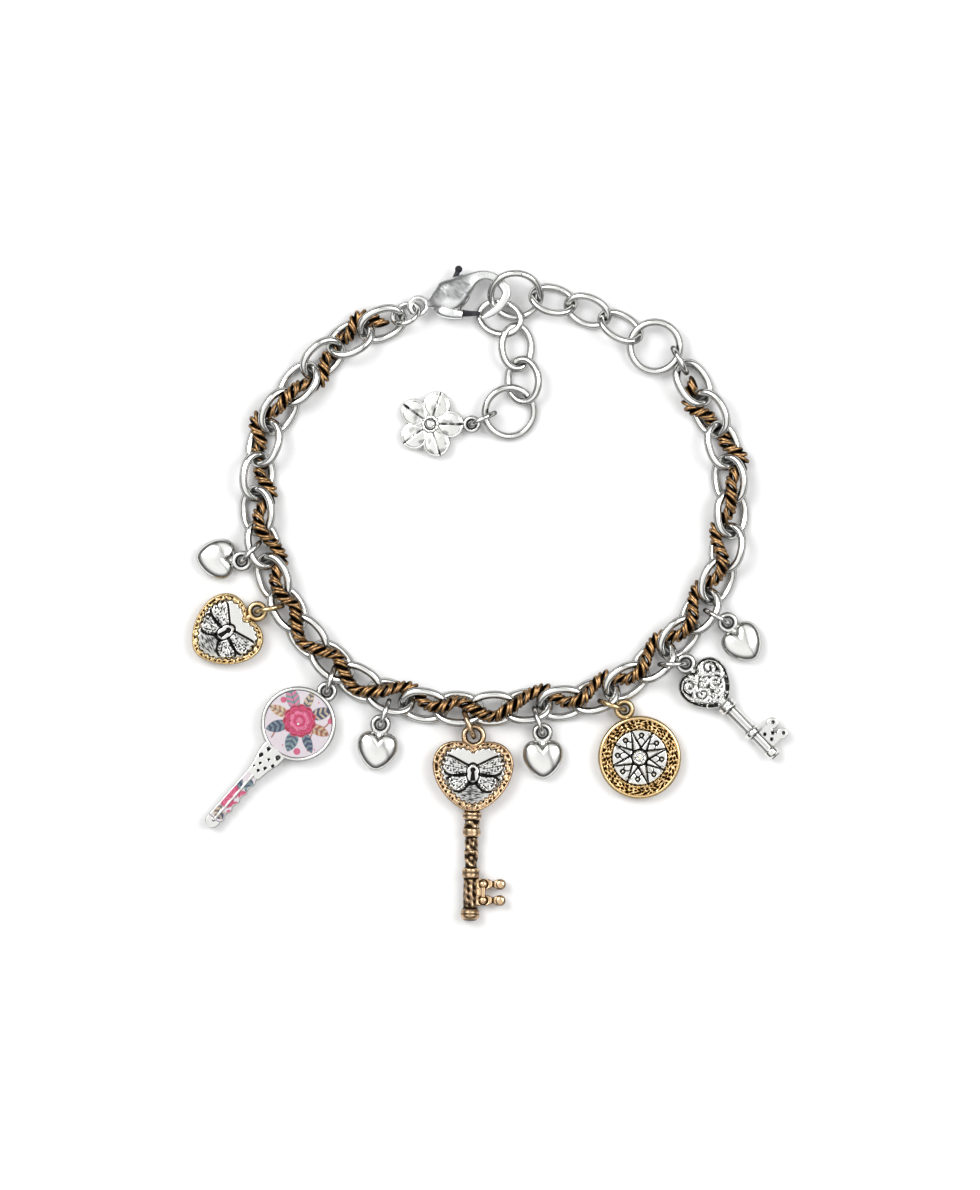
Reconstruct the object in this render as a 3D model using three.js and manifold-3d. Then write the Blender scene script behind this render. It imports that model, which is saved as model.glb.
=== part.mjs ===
// A silver charm bracelet, closed and lying on a table. Millimetres, Z up, seen from above.
import * as THREE from 'three';
import { mergeVertices } from 'three/addons/utils/BufferGeometryUtils.js';
import Module from 'manifold-3d';

const wasm = await Module();
wasm.setup();

// Main chain
const LINK_COUNT = 32;
const LINK_WIRE = 0.96;
const LINK_HALF_WIDTH = 2.15;
const LINK_ROLL = 30;
const END_OVERLAP = 1.28;
const CHAIN_HEIGHT = 1.6;
const LINK_STEPS = 12;
const LINK_FULLNESS = 2.2;
const WIRE_SIDES = 6;

// Jump rings
const JUMP_RADIUS = 1.8;
const JUMP_WIRE = 0.65;
const REST = 0.03;

// Extender rings and ovals
const RING_RADIUS = 3.3;
const RING_WIRE = 0.9;
const OVAL_HALF_LENGTH = 2.86;

// Charm loops
const LOOP_RADIUS = 1.0;
const LOOP_WIRE = 0.8;
const LOOP_HEIGHT = 1.38;

// Fine chain
const FINE_RADIUS = 0.33;

const UP = new THREE.Vector3(0, 0, 1);
const v3 = (x, y, z = 0) => new THREE.Vector3(x, y, z);
const radians = (degrees) => degrees * Math.PI / 180;

// Colours
const silver = new THREE.MeshStandardMaterial({ color: 0xc9c9c6, roughness: 0.25, metalness: 1 });
const brass = new THREE.MeshStandardMaterial({ color: 0xa98d63, roughness: 0.4, metalness: 1 });
const rosyBrass = new THREE.MeshStandardMaterial({ color: 0xa5806a, roughness: 0.4, metalness: 1 });
const enamelled = new THREE.MeshStandardMaterial({ color: 0xc4b3bb, roughness: 0.2, metalness: 0.3 });

// Shape tools

function toSolid(geometry) {
  const bare = new THREE.BufferGeometry();
  bare.setAttribute('position', geometry.getAttribute('position').clone());
  if (geometry.index) bare.setIndex(geometry.index.clone());
  const merged = mergeVertices(bare, 1e-5);
  return new wasm.Manifold(new wasm.Mesh({
    numProp: 3,
    vertProperties: new Float32Array(merged.getAttribute('position').array),
    triVerts: new Uint32Array(merged.index.array),
  }));
}

function toGeometry(solid) {
  const result = solid.getMesh();
  const indexed = new THREE.BufferGeometry();
  indexed.setAttribute('position', new THREE.BufferAttribute(new Float32Array(result.vertProperties), 3));
  indexed.setIndex(new THREE.BufferAttribute(new Uint32Array(result.triVerts), 1));
  const flat = indexed.toNonIndexed();
  flat.computeVertexNormals();
  return flat;
}

function gridGeometry(rows, closed) {
  const sides = rows[0].length;
  const positions = [];
  const index = [];
  for (const row of rows) {
    for (const point of row) positions.push(point.x, point.y, point.z);
  }
  const last = closed ? rows.length : rows.length - 1;
  for (let i = 0; i < last; i += 1) {
    for (let j = 0; j < sides; j += 1) {
      const a = i * sides + j;
      const b = ((i + 1) % rows.length) * sides + j;
      const c = ((i + 1) % rows.length) * sides + (j + 1) % sides;
      const d = i * sides + (j + 1) % sides;
      index.push(a, b, c, a, c, d);
    }
  }
  if (!closed) {
    for (let j = 1; j < sides - 1; j += 1) {
      const end = last * sides;
      index.push(0, j, j + 1);
      index.push(end, end + j + 1, end + j);
    }
  }
  const geometry = new THREE.BufferGeometry();
  geometry.setAttribute('position', new THREE.BufferAttribute(new Float32Array(positions), 3));
  geometry.setIndex(index);
  return geometry;
}

// A round wire bent into a closed oval, long half-axis along one direction and short one across it.
// Fullness 2 gives an ellipse, and more gives blunter ends
function ovalWire(
  centre, along, across, halfLength, halfWidth, wire, steps, sides = WIRE_SIDES, fullness = 2,
) {
  const normal = along.clone().cross(across).normalize();
  const blunt = (value) => Math.sign(value) * Math.abs(value) ** (2 / fullness);
  const rows = [];
  for (let i = 0; i < steps; i += 1) {
    const angle = 2 * Math.PI * i / steps;
    const middle = centre.clone()
      .addScaledVector(along, halfLength * blunt(Math.cos(angle)))
      .addScaledVector(across, halfWidth * blunt(Math.sin(angle)));
    const outward = along.clone().multiplyScalar(halfWidth * Math.cos(angle))
      .addScaledVector(across, halfLength * Math.sin(angle)).normalize();
    const row = [];
    for (let j = 0; j < sides; j += 1) {
      const turn = 2 * Math.PI * j / sides;
      row.push(middle.clone()
        .addScaledVector(outward, wire / 2 * Math.cos(turn))
        .addScaledVector(normal, wire / 2 * Math.sin(turn)));
    }
    rows.push(row);
  }
  return gridGeometry(rows, true);
}

// A bar through a row of oval sections that lie in the XY plane's depth
function sectionBar(sections, sides) {
  const rows = sections.map((section, i) => {
    const before = sections[Math.max(i - 1, 0)];
    const after = sections[Math.min(i + 1, sections.length - 1)];
    const side = v3(-(after.y - before.y), after.x - before.x).normalize();
    const row = [];
    for (let j = 0; j < sides; j += 1) {
      const turn = 2 * Math.PI * j / sides;
      row.push(v3(section.x, section.y, -section.depth * Math.sin(turn))
        .addScaledVector(side, section.half * Math.cos(turn)));
    }
    return row;
  });
  return toSolid(gridGeometry(rows, false));
}

function plate(outline, low, high) {
  const shape = new THREE.Shape(outline.map((point) => new THREE.Vector2(point.x, point.y)));
  const geometry = new THREE.ExtrudeGeometry(shape, { depth: high - low, bevelEnabled: false });
  geometry.translate(0, 0, low);
  return toSolid(geometry);
}

function disc(x, y, radius, low, high, sides) {
  return plate(ellipse(x, y, radius, radius, 0, sides), low, high);
}

function ellipse(x, y, halfLong, halfShort, turn, count) {
  const points = [];
  for (let i = 0; i < count; i += 1) {
    const angle = 2 * Math.PI * i / count;
    const p = halfLong * Math.cos(angle);
    const q = halfShort * Math.sin(angle);
    points.push(v3(x + p * Math.cos(turn) - q * Math.sin(turn), y + p * Math.sin(turn) + q * Math.cos(turn)));
  }
  return points;
}

// A turned bar along X from a profile of x and radius
function turnedBar(profile, sides) {
  const points = [new THREE.Vector2(0, profile[0].x)];
  for (const step of profile) points.push(new THREE.Vector2(step.r, step.x));
  points.push(new THREE.Vector2(0, profile[profile.length - 1].x));
  const geometry = new THREE.LatheGeometry(points, sides);
  geometry.rotateZ(-Math.PI / 2);
  return toSolid(geometry);
}

function ball(x, y, z, radius) {
  const geometry = new THREE.SphereGeometry(radius, 8, 4);
  geometry.translate(x, y, z);
  return toSolid(geometry);
}

function flatLoop(x, radius = LOOP_RADIUS, wire = LOOP_WIRE) {
  return toSolid(ovalWire(v3(x, 0), v3(1, 0), v3(0, 1), radius, radius, wire, 10, 5));
}

function join(parts) {
  return parts.reduce((sum, part) => sum.add(part));
}

// Heart outline from its lobes at x = start to its tip at x = start + length. The length runs as a
// sum of waves, and the width as the cube of a sine with a little plain sine in it
function heart(start, length, width, count, scale = 1) {
  const lobeTop = 10.7;
  const full = 23.6;
  const plain = 0.07;
  const fine = [];
  for (let i = 0; i <= 90; i += 1) {
    const t = Math.PI * i / 90;
    const u = 13 * Math.cos(t) - 2.5 * Math.cos(2 * t) - 2.4 * Math.cos(3 * t) + 0.2 * Math.cos(4 * t);
    const w = (1 - plain) * Math.sin(t) ** 3 + plain * Math.sin(t);
    fine.push(v3(start + length * (lobeTop - u * scale) / full, width * scale * w / 2));
  }
  const side = evenPoints(fine, count / 2);
  const mirrored = side.slice(1, -1).reverse().map((point) => v3(point.x, -point.y));
  return side.concat(mirrored);
}

// Both faces of a heart domed towards its middle
function puffedHeart(start, length, width, halfDepth, count) {
  const levels = [1, 0.93, 0.7, 0.35];
  const outlines = levels.map((scale) => heart(start, length, width, count, scale));
  const height = (scale) => halfDepth * Math.sqrt(1 - scale * scale);
  const rows = [];
  for (let k = levels.length - 1; k > 0; k -= 1) {
    rows.push(outlines[k].map((point) => v3(point.x, point.y, -height(levels[k]))));
  }
  rows.push(outlines[0]);
  for (let k = 1; k < levels.length; k += 1) {
    rows.push(outlines[k].map((point) => v3(point.x, point.y, height(levels[k]))));
  }
  return toSolid(gridGeometry(rows, false));
}

const bracelet = new THREE.Group();
bracelet.name = 'charm_bracelet';

function addPiece(name, geometry, material, parent = bracelet) {
  if (!geometry.getAttribute('normal')) geometry.computeVertexNormals();
  const mesh = new THREE.Mesh(geometry, material);
  mesh.name = name;
  parent.add(mesh);
  return mesh;
}

// Route of the main chain, from the extender round to the clasp

const ROUTE = [
  [25.9, 30.2], [29.9, 23.3], [31.9, 16.3], [31.9, 6.9], [28.5, -1.7], [22.1, -8.7],
  [14.5, -13.5], [5.1, -14.8], [-4.7, -15.2], [-14.0, -13.5], [-21.3, -8.8], [-27.2, -1.6],
  [-30.5, 7.2], [-31.1, 16.0], [-28.8, 23.7], [-22.9, 31.1], [-18.4, 34.4], [-12.3, 37.0],
].map(([x, y]) => v3(x, y));

function smoothRoute(points, perSpan) {
  const result = [];
  for (let s = 0; s < points.length - 1; s += 1) {
    const b = points[s];
    const c = points[s + 1];
    const a = s > 0 ? points[s - 1] : b.clone().multiplyScalar(2).sub(c);
    const d = s + 2 < points.length ? points[s + 2] : c.clone().multiplyScalar(2).sub(b);
    for (let i = 0; i < perSpan; i += 1) {
      const t = i / perSpan;
      const blend = (p, q, r, w) => 0.5 * (2 * q + (r - p) * t + (2 * p - 5 * q + 4 * r - w) * t * t
        + (3 * q - p - 3 * r + w) * t * t * t);
      result.push(v3(blend(a.x, b.x, c.x, d.x), blend(a.y, b.y, c.y, d.y)));
    }
  }
  result.push(points[points.length - 1].clone());
  return result;
}

function evenPoints(line, count) {
  const lengths = [0];
  for (let i = 1; i < line.length; i += 1) {
    lengths.push(lengths[i - 1] + line[i].distanceTo(line[i - 1]));
  }
  const total = lengths[lengths.length - 1];
  const result = [];
  let k = 1;
  for (let i = 0; i <= count; i += 1) {
    const wanted = total * i / count;
    while (k < line.length - 1 && lengths[k] < wanted) k += 1;
    const share = (wanted - lengths[k - 1]) / (lengths[k] - lengths[k - 1]);
    result.push(line[k - 1].clone().lerp(line[k], share));
  }
  return result;
}

// Each joint is where two links cross; the first one is raised a little for the ring that holds it
const joints = evenPoints(smoothRoute(ROUTE, 200), LINK_COUNT);
joints.forEach((joint) => joint.setZ(CHAIN_HEIGHT));
joints[0].setZ(CHAIN_HEIGHT + 0.25);
joints[LINK_COUNT].setZ(CHAIN_HEIGHT + 0.1);

const links = [];
const mainChain = new THREE.Group();
mainChain.name = 'main_chain';
bracelet.add(mainChain);
for (let i = 1; i <= LINK_COUNT; i += 1) {
  const from = joints[i - 1];
  const to = joints[i];
  const along = to.clone().sub(from).normalize();
  const outward = UP.clone().cross(along).normalize();
  const lift = i % 2 === 0 ? LINK_ROLL : -LINK_ROLL;
  const across = outward.clone().multiplyScalar(Math.cos(radians(lift)))
    .addScaledVector(along.clone().cross(outward), Math.sin(radians(lift)));
  const link = {
    centre: from.clone().add(to).multiplyScalar(0.5),
    along,
    across,
    outward,
    half: (to.distanceTo(from) + END_OVERLAP) / 2,
  };
  links.push(link);
  const name = `chain_link_${String(i).padStart(2, '0')}`;
  const wire = ovalWire(
    link.centre, along, across, link.half, LINK_HALF_WIDTH, LINK_WIRE, LINK_STEPS, WIRE_SIDES, LINK_FULLNESS,
  );
  addPiece(name, wire, silver, mainChain);
}

// Clasp, drawn from the centre of its eye along X, then pitched up and turned into place

const EYE = v3(-9.53, 38.53, 1.75);
const CLASP_PITCH = 3.1;
const EYE_RADIUS = 1.12;
const EYE_WIRE = 0.76;
const PIVOT = { x: 4.5, y: 1.2 };
const PIN_RADIUS = 0.36;
const SLOT_HALF = 0.45;
const LEVER_HALF = 0.35;

const HOOK_SECTIONS = [
  { x: 1.1, y: 0.2, half: 0.5, depth: 0.38 },
  { x: 1.6, y: 0.36, half: 0.75, depth: 0.6 },
  { x: 2.47, y: 0.67, half: 1.45, depth: 1.05 },
  { x: 3.67, y: 1.1, half: 2.2, depth: 1.45 },
  { x: 4.9, y: 1.8, half: 2.1, depth: 1.5 },
  { x: 6.2, y: 2.87, half: 1.5, depth: 1.15 },
  { x: 7.5, y: 3.75, half: 0.9, depth: 0.8 },
  { x: 8.85, y: 4.12, half: 0.66, depth: 0.6 },
  { x: 10.2, y: 3.75, half: 0.62, depth: 0.52 },
  { x: 11.35, y: 2.67, half: 0.68, depth: 0.55 },
  { x: 11.75, y: 1.6, half: 0.65, depth: 0.55 },
  { x: 11.2, y: 0.35, half: 0.6, depth: 0.52 },
  { x: 10.25, y: -0.6, half: 0.52, depth: 0.5 },
  { x: 9.25, y: -1.25, half: 0.42, depth: 0.42 },
  { x: 8.5, y: -1.62, half: 0.22, depth: 0.25 },
];
const HOUSING_SECTIONS = [
  { x: 2.2, y: -0.1, half: 0.5, depth: 0.6 },
  { x: 3.2, y: -0.6, half: 0.9, depth: 1.2 },
  { x: 4.6, y: -0.95, half: 0.85, depth: 1.3 },
  { x: 5.9, y: -1.15, half: 0.65, depth: 1.0 },
];
const LEVER_OUTLINE = [
  [5.1, 4.9], [4.66, 4.1], [4.15, 2.6], [3.75, 1.2], [3.95, 0.5], [4.45, -0.5], [5.4, -1.35],
  [6.4, -1.42], [7.4, -1.35], [8.15, -1.27], [8.3, -1.0], [8.1, -0.72], [7.2, -0.68],
  [6.2, -0.55], [5.6, -0.3], [5.2, 0.6], [5.2, 1.4], [4.85, 2.4], [5.3, 3.9], [5.6, 4.7],
].map(([x, y]) => v3(x, y));

function placeOnEye(solid) {
  return toGeometry(solid.rotate([0, -CLASP_PITCH, 0]).translate([EYE.x, EYE.y, EYE.z]));
}

const clasp = new THREE.Group();
clasp.name = 'lobster_clasp';
bracelet.add(clasp);
const eye = toSolid(ovalWire(v3(0, 0), v3(1, 0), v3(0, 1), EYE_RADIUS, EYE_RADIUS, EYE_WIRE, 12, 5));
const slot = plate([v3(3.3, -4), v3(6.8, -4), v3(6.8, 6), v3(3.3, 6)], -SLOT_HALF, SLOT_HALF);
const pin = disc(PIVOT.x, PIVOT.y, PIN_RADIUS, -1.1, 1.1, 8);
const claspBody = join([eye, sectionBar(HOOK_SECTIONS, 10), sectionBar(HOUSING_SECTIONS, 8)])
  .subtract(slot).add(pin);
addPiece('clasp_body', placeOnEye(claspBody), silver, clasp);
const pinHole = disc(PIVOT.x, PIVOT.y, PIN_RADIUS + 0.14, -2, 2, 10);
const lever = plate(LEVER_OUTLINE, -LEVER_HALF, LEVER_HALF)
  .add(ball(5.36, 4.89, 0, 0.5)).subtract(pinHole);
addPiece('clasp_lever', placeOnEye(lever), silver, clasp);

// The round link between the last main link and the clasp's eye
const EYE_LINK_RADIUS = 1.8;
const EYE_LINK_ROLL = 48;
const eyeLinkEnd = v3(-9.7, 38.42, 1.76);
const lastLink = links[LINK_COUNT - 1];
const lastLinkEnd = lastLink.centre.clone().addScaledVector(lastLink.along, lastLink.half);
const eyeLinkAlong = eyeLinkEnd.clone().sub(lastLinkEnd).setZ(0).normalize();
const eyeLinkSide = UP.clone().cross(eyeLinkAlong);
const eyeLinkAcross = eyeLinkSide.clone().multiplyScalar(Math.cos(radians(EYE_LINK_ROLL)))
  .addScaledVector(UP, -Math.sin(radians(EYE_LINK_ROLL)));
addPiece('clasp_link', ovalWire(
  eyeLinkEnd.clone().addScaledVector(eyeLinkAlong, -EYE_LINK_RADIUS),
  eyeLinkAlong, eyeLinkAcross, EYE_LINK_RADIUS, EYE_LINK_RADIUS, 0.74, 12, 5,
), silver);

// Extender: rings and ovals given by their centre, the way they point, their roll and half-width
// The roll lifts the side on the left of the way they point

const extender = new THREE.Group();
extender.name = 'extender';
bracelet.add(extender);

function extenderWire({ x, y, z, way, pitch = 0, roll, half = OVAL_HALF_LENGTH, width }) {
  const along = v3(
    Math.cos(radians(way)) * Math.cos(radians(pitch)),
    Math.sin(radians(way)) * Math.cos(radians(pitch)),
    Math.sin(radians(pitch)),
  );
  const left = UP.clone().cross(along).normalize();
  const across = left.clone().multiplyScalar(Math.cos(radians(roll)))
    .addScaledVector(along.clone().cross(left), Math.sin(radians(roll)));
  return ovalWire(v3(x, y, z), along, across, half, width, RING_WIRE, LINK_STEPS);
}

// A ring given by a point of its edge and the heading from there to its middle
function ring({ edge, heading, z, way, pitch, roll }) {
  return {
    x: edge[0] + RING_RADIUS * Math.cos(radians(heading)),
    y: edge[1] + RING_RADIUS * Math.sin(radians(heading)),
    z, way, pitch, roll, half: RING_RADIUS, width: RING_RADIUS,
  };
}
const hookRing = ring({ edge: [0.1, 39.95], heading: 0, z: 2.31, way: 0, pitch: 0, roll: 29 });
addPiece('extender_hook_ring', extenderWire(hookRing), silver, extender);

const extenderChain = [
  { x: 8.38, y: 39.33, z: 1.8, way: -12, pitch: -6, roll: -32, width: 2.0 },
  { x: 13.02, y: 37.9, z: 1.62, way: -22, roll: 28, width: 2.0 },
  { x: 17.39, y: 35.77, z: 1.75, way: -30, roll: -38, width: 2.0 },
  ring({ edge: [19.142, 34.76], heading: -30, z: 1.75, way: -30, pitch: 0, roll: 6 }),
];
const extenderTail = [
  { x: 1.33, y: 36.95, z: 1.12, way: -15, pitch: 13, roll: 0, width: 2.15 },
  { x: 3.53, y: 33.07, z: 1.3, way: -88, roll: -22, width: 2.1 },
  { x: 4.43, y: 28.6, z: 1.42, way: -86, roll: 23, width: 2.2 },
  ring({ edge: [5.349, 26.226], heading: 213.6, z: 1.24, way: -45, pitch: -13, roll: 0 }),
];
const fuse = (wires) => toGeometry(join(wires.map((wire) => toSolid(extenderWire(wire)))));
addPiece('extender_chain', fuse(extenderChain), silver, extender);
addPiece('extender_tail', fuse(extenderTail), silver, extender);

// A jump ring standing on edge through two points of wire
function standingRing(name, x, y, z, way, material, radius, wire, parent = bracelet) {
  const along = v3(Math.cos(way), Math.sin(way));
  return addPiece(name, ovalWire(v3(x, y, z), along, UP, radius, radius, wire, LINK_STEPS, 5), material, parent);
}

// The ring between the extender's end ring and the first main link
const endRing = extenderChain[extenderChain.length - 1];
const endRingEdge = v3(endRing.x, endRing.y, endRing.z)
  .addScaledVector(v3(Math.cos(radians(-24)), Math.sin(radians(-24))), RING_RADIUS);
const firstLinkEnd = links[0].centre.clone().addScaledVector(links[0].along, -links[0].half);
const between = endRingEdge.clone().add(firstLinkEnd).multiplyScalar(0.5);
const toFirstLink = Math.atan2(firstLinkEnd.y - endRingEdge.y, firstLinkEnd.x - endRingEdge.x);
standingRing('extender_jump_ring', between.x, between.y, 2.27, toFirstLink, silver, 1.85, 0.75);

// Charm shapes. Each hangs by a flat loop centred on the origin and points along X

function ridged(outer, inner, low, high) {
  return plate(outer, low, high).subtract(plate(inner, low - 1, high + 1));
}

function smallHeart() {
  const neck = turnedBar([{ x: 1.15, r: 0.4 }, { x: 2.7, r: 0.6 }], 6);
  return join([flatLoop(0), neck, puffedHeart(1.0, 5.1, 5.4, 1.25, 14)]);
}

// Four round wings and a slim body; the head points back to the loop
function butterfly(x, size, low, high) {
  const wing = (side, forward, reach, long, short, lean) => plate(
    ellipse(x + forward * size, side * reach * size, long * size, short * size, side * lean, 8), low, high,
  );
  return join([
    wing(1, -0.45, 0.95, 1.0, 0.62, radians(125)), wing(-1, -0.45, 0.95, 1.0, 0.62, radians(125)),
    wing(1, 0.55, 0.75, 0.72, 0.5, radians(50)), wing(-1, 0.55, 0.75, 0.72, 0.5, radians(50)),
    plate(ellipse(x, 0, 1.25 * size, 0.34 * size, 0, 6), low, high),
  ]);
}

function keyhole(x, size, low, high) {
  const flare = [v3(x, -0.3 * size), v3(x + 1.9 * size, -0.75 * size), v3(x + 1.9 * size, 0.75 * size),
    v3(x, 0.3 * size)];
  return disc(x, 0, 0.7 * size, low, high, 8).add(plate(flare, low, high));
}

function heartPanel(start, length, width, face, rim) {
  const outer = heart(start, length, width, 20);
  const inner = heart(start, length, width, 20, 0.82);
  return plate(outer, -face, face).add(ridged(outer, inner, -rim, rim));
}

function butterflyHeart() {
  const middle = 4.7;
  const panel = heartPanel(0.9, 9.0, 9.6, 0.7, 1.0);
  const neck = turnedBar([{ x: 1.15, r: 0.45 }, { x: 3.4, r: 0.6 }], 6);
  return join([flatLoop(0), neck, panel, butterfly(middle, 1.9, 0, 0.95)])
    .subtract(keyhole(middle - 0.5, 0.5, 0.6, 2));
}

const BOW_RADIUS = 5.0;
const BOW_CLEAR = 0.74;
const BOW_MIDDLE = BOW_RADIUS + BOW_CLEAR;
const COLLAR_START = BOW_MIDDLE + BOW_RADIUS - 0.54;
const COLLAR_LENGTH = 4.6;
const BLADE_START = COLLAR_START + COLLAR_LENGTH - 0.3;
const BLADE_LENGTH = 9.4;
const BLADE_END = BLADE_START + BLADE_LENGTH;
const BLADE_HALF = 1.0;
const TOOTH_COUNT = 5;

function enamelKey() {
  const half = 0.9;
  const bow = disc(BOW_MIDDLE, 0, BOW_RADIUS, -half, half, 28)
    .subtract(disc(BOW_MIDDLE, 0, BOW_RADIUS - 0.5, half - 0.15, 2, 28));
  const taper = [[0, 1.75], [1.4, 1.7], [3.0, 1.2], [COLLAR_LENGTH, BLADE_HALF]];
  const collar = plate([
    ...taper.map(([x, side]) => v3(COLLAR_START + x, -side)),
    ...taper.map(([x, side]) => v3(COLLAR_START + x, side)).reverse(),
  ], -half, half + 0.1);
  const toothPitch = (BLADE_END - 1.6 - BLADE_START) / TOOTH_COUNT;
  const edge = [v3(BLADE_START, -BLADE_HALF), v3(BLADE_END - 0.7, -BLADE_HALF), v3(BLADE_END, -0.35),
    v3(BLADE_END, 0.35), v3(BLADE_END - 0.7, BLADE_HALF - 0.1)];
  for (let i = TOOTH_COUNT - 1; i >= 0; i -= 1) {
    const x = BLADE_START + 0.5 + toothPitch * i;
    edge.push(v3(x + toothPitch * 0.95, BLADE_HALF - 0.35), v3(x + toothPitch * 0.7, BLADE_HALF + 0.15),
      v3(x + toothPitch * 0.25, BLADE_HALF + 0.15), v3(x, BLADE_HALF - 0.35));
  }
  edge.push(v3(BLADE_START, BLADE_HALF));
  const rib = plate([v3(BLADE_START, -0.22), v3(BLADE_END - 0.9, -0.22), v3(BLADE_END - 0.9, 0.22),
    v3(BLADE_START, 0.22)], 0, half);
  const bands = [1.2, 2.4, 3.6].map((along) => {
    const x = COLLAR_START + along;
    return plate([v3(x, -2), v3(x + 0.35, -2), v3(x + 0.35, 2), v3(x, 2)], half - 0.05, 3);
  });
  return join([flatLoop(0), bow, bands.reduce((sum, cut) => sum.subtract(cut), collar),
    plate(edge, -0.75, 0.75), rib]);
}

function heartKey() {
  const middle = 5.0;
  const loop = flatLoop(0, 1.27, 0.8);
  const panel = heartPanel(0.68, 9.4, 10.8, 0.8, 1.1);
  const stem = turnedBar([
    { x: 9.4, r: 0.95 }, { x: 10.15, r: 1.0 }, { x: 10.2, r: 1.26 }, { x: 11.05, r: 1.26 },
    { x: 11.1, r: 0.98 }, { x: 12.3, r: 0.98 }, { x: 12.4, r: 1.19 }, { x: 13.3, r: 1.19 },
    { x: 13.4, r: 0.79 }, { x: 17.6, r: 0.79 }, { x: 17.7, r: 1.15 }, { x: 18.8, r: 1.15 },
    { x: 18.9, r: 0.91 }, { x: 23.0, r: 0.91 }, { x: 23.1, r: 1.26 }, { x: 24.2, r: 1.26 },
    { x: 24.65, r: 0.8 },
  ], 8);
  const prong = (x) => plate([v3(x, 0.5), v3(x + 1.3, 0.5), v3(x + 1.3, 4.2), v3(x, 4.2)], -0.55, 0.55)
    .add(ball(x + 0.65, 4.0, 0, 0.72)).add(disc(x + 0.65, 1.6, 0.5, 0, 0.8, 8));
  const web = plate([v3(19.4, 0.5), v3(22.2, 0.5), v3(22.2, 2.0), v3(19.4, 2.0)], -0.45, 0.45);
  const neck = turnedBar([{ x: 1.4, r: 0.5 }, { x: 3.4, r: 0.65 }], 6);
  return join([loop, neck, panel, stem, prong(19.05), prong(21.2), web, butterfly(middle, 2.0, 0, 1.0)])
    .subtract(keyhole(middle - 0.5, 0.55, 0.7, 2));
}

const COMPASS_RADIUS = 5.53;
const COMPASS_CLEAR = 1.17;
const COMPASS_MIDDLE = COMPASS_CLEAR + COMPASS_RADIUS;

function compass() {
  const ringRidge = (outer, inner, top) => disc(COMPASS_MIDDLE, 0, outer, 0, top, 20)
    .subtract(disc(COMPASS_MIDDLE, 0, inner, -1, 2, 20));
  const star = (reach, waist, turn, top) => {
    const points = [];
    for (let i = 0; i < 8; i += 1) {
      const angle = turn + Math.PI * i / 4;
      const radius = i % 2 === 0 ? reach : waist;
      points.push(v3(COMPASS_MIDDLE + radius * Math.cos(angle), radius * Math.sin(angle)));
    }
    return plate(points, 0, top);
  };
  return join([
    flatLoop(0), disc(COMPASS_MIDDLE, 0, COMPASS_RADIUS, -0.75, 0.7, 20),
    ringRidge(COMPASS_RADIUS, COMPASS_RADIUS - 0.45, 0.95), ringRidge(3.95, 3.6, 0.9),
    star(3.1, 0.75, Math.PI / 4, 0.85), star(3.3, 0.8, 0, 0.95),
    disc(COMPASS_MIDDLE, 0, 0.85, 0, 1.1, 10),
  ]);
}

function silverKey() {
  const panel = heartPanel(1.0, 6.5, 7.0, 0.75, 1.0);
  const stem = turnedBar([
    { x: 6.8, r: 0.9 }, { x: 7.5, r: 0.9 }, { x: 7.55, r: 1.26 }, { x: 8.4, r: 1.26 },
    { x: 8.5, r: 0.87 }, { x: 12.4, r: 0.87 }, { x: 12.5, r: 1.15 }, { x: 13.1, r: 1.15 },
    { x: 13.2, r: 0.8 }, { x: 16.0, r: 0.8 }, { x: 16.1, r: 0.95 }, { x: 16.9, r: 0.95 }, { x: 17.3, r: 0.5 },
  ], 8);
  const bit = plate([v3(13.5, 0.4), v3(15.9, 0.4), v3(15.9, 2.6), v3(13.5, 2.6)], -0.5, 0.5);
  const lobe = (x) => disc(x, 2.75, 0.78, -0.5, 0.5, 10);
  const hole = (x) => disc(x, 2.75, 0.28, -2, 2, 6);
  const scroll = (side) => ridged(ellipse(3.9, side * 1.35, 1.15, 1.0, 0, 10),
    ellipse(3.9, side * 1.35, 0.75, 0.6, 0, 10), 0, 0.95);
  const neck = turnedBar([{ x: 1.15, r: 0.45 }, { x: 2.8, r: 0.6 }], 6);
  return join([flatLoop(0), neck, panel, stem, bit, lobe(13.7), lobe(15.7), scroll(1), scroll(-1)])
    .subtract(hole(13.7)).subtract(hole(15.7));
}

const PETAL_COUNT = 5;

function flowerTag() {
  const middle = 5.5;
  const petals = [];
  for (let i = 0; i < PETAL_COUNT; i += 1) {
    const angle = Math.PI + 2 * Math.PI * i / PETAL_COUNT;
    petals.push(disc(middle + 2.65 * Math.cos(angle), 2.65 * Math.sin(angle), 1.85, -0.6, 0.6, 12));
  }
  return join([flatLoop(0, 0.85, 0.7), ...petals, disc(middle, 0, 1.2, -0.6, 1.0, 10)]);
}

// Hanging: every charm's jump ring stands on edge round a wire of the chain and the charm's loop

function wirePoint(link, angle) {
  return link.centre.clone()
    .addScaledVector(link.along, link.half * Math.sin(radians(angle)))
    .addScaledVector(link.across, LINK_HALF_WIDTH * Math.cos(radians(angle)));
}

const RING_HEIGHT = JUMP_RADIUS + JUMP_WIRE / 2 + REST;
const RING_HALF_CHORD = Math.sqrt(JUMP_RADIUS ** 2 - (RING_HEIGHT - LOOP_HEIGHT) ** 2);
const REACH_MIN = 1.6;
const REACH_MAX = 2.05;

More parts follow.
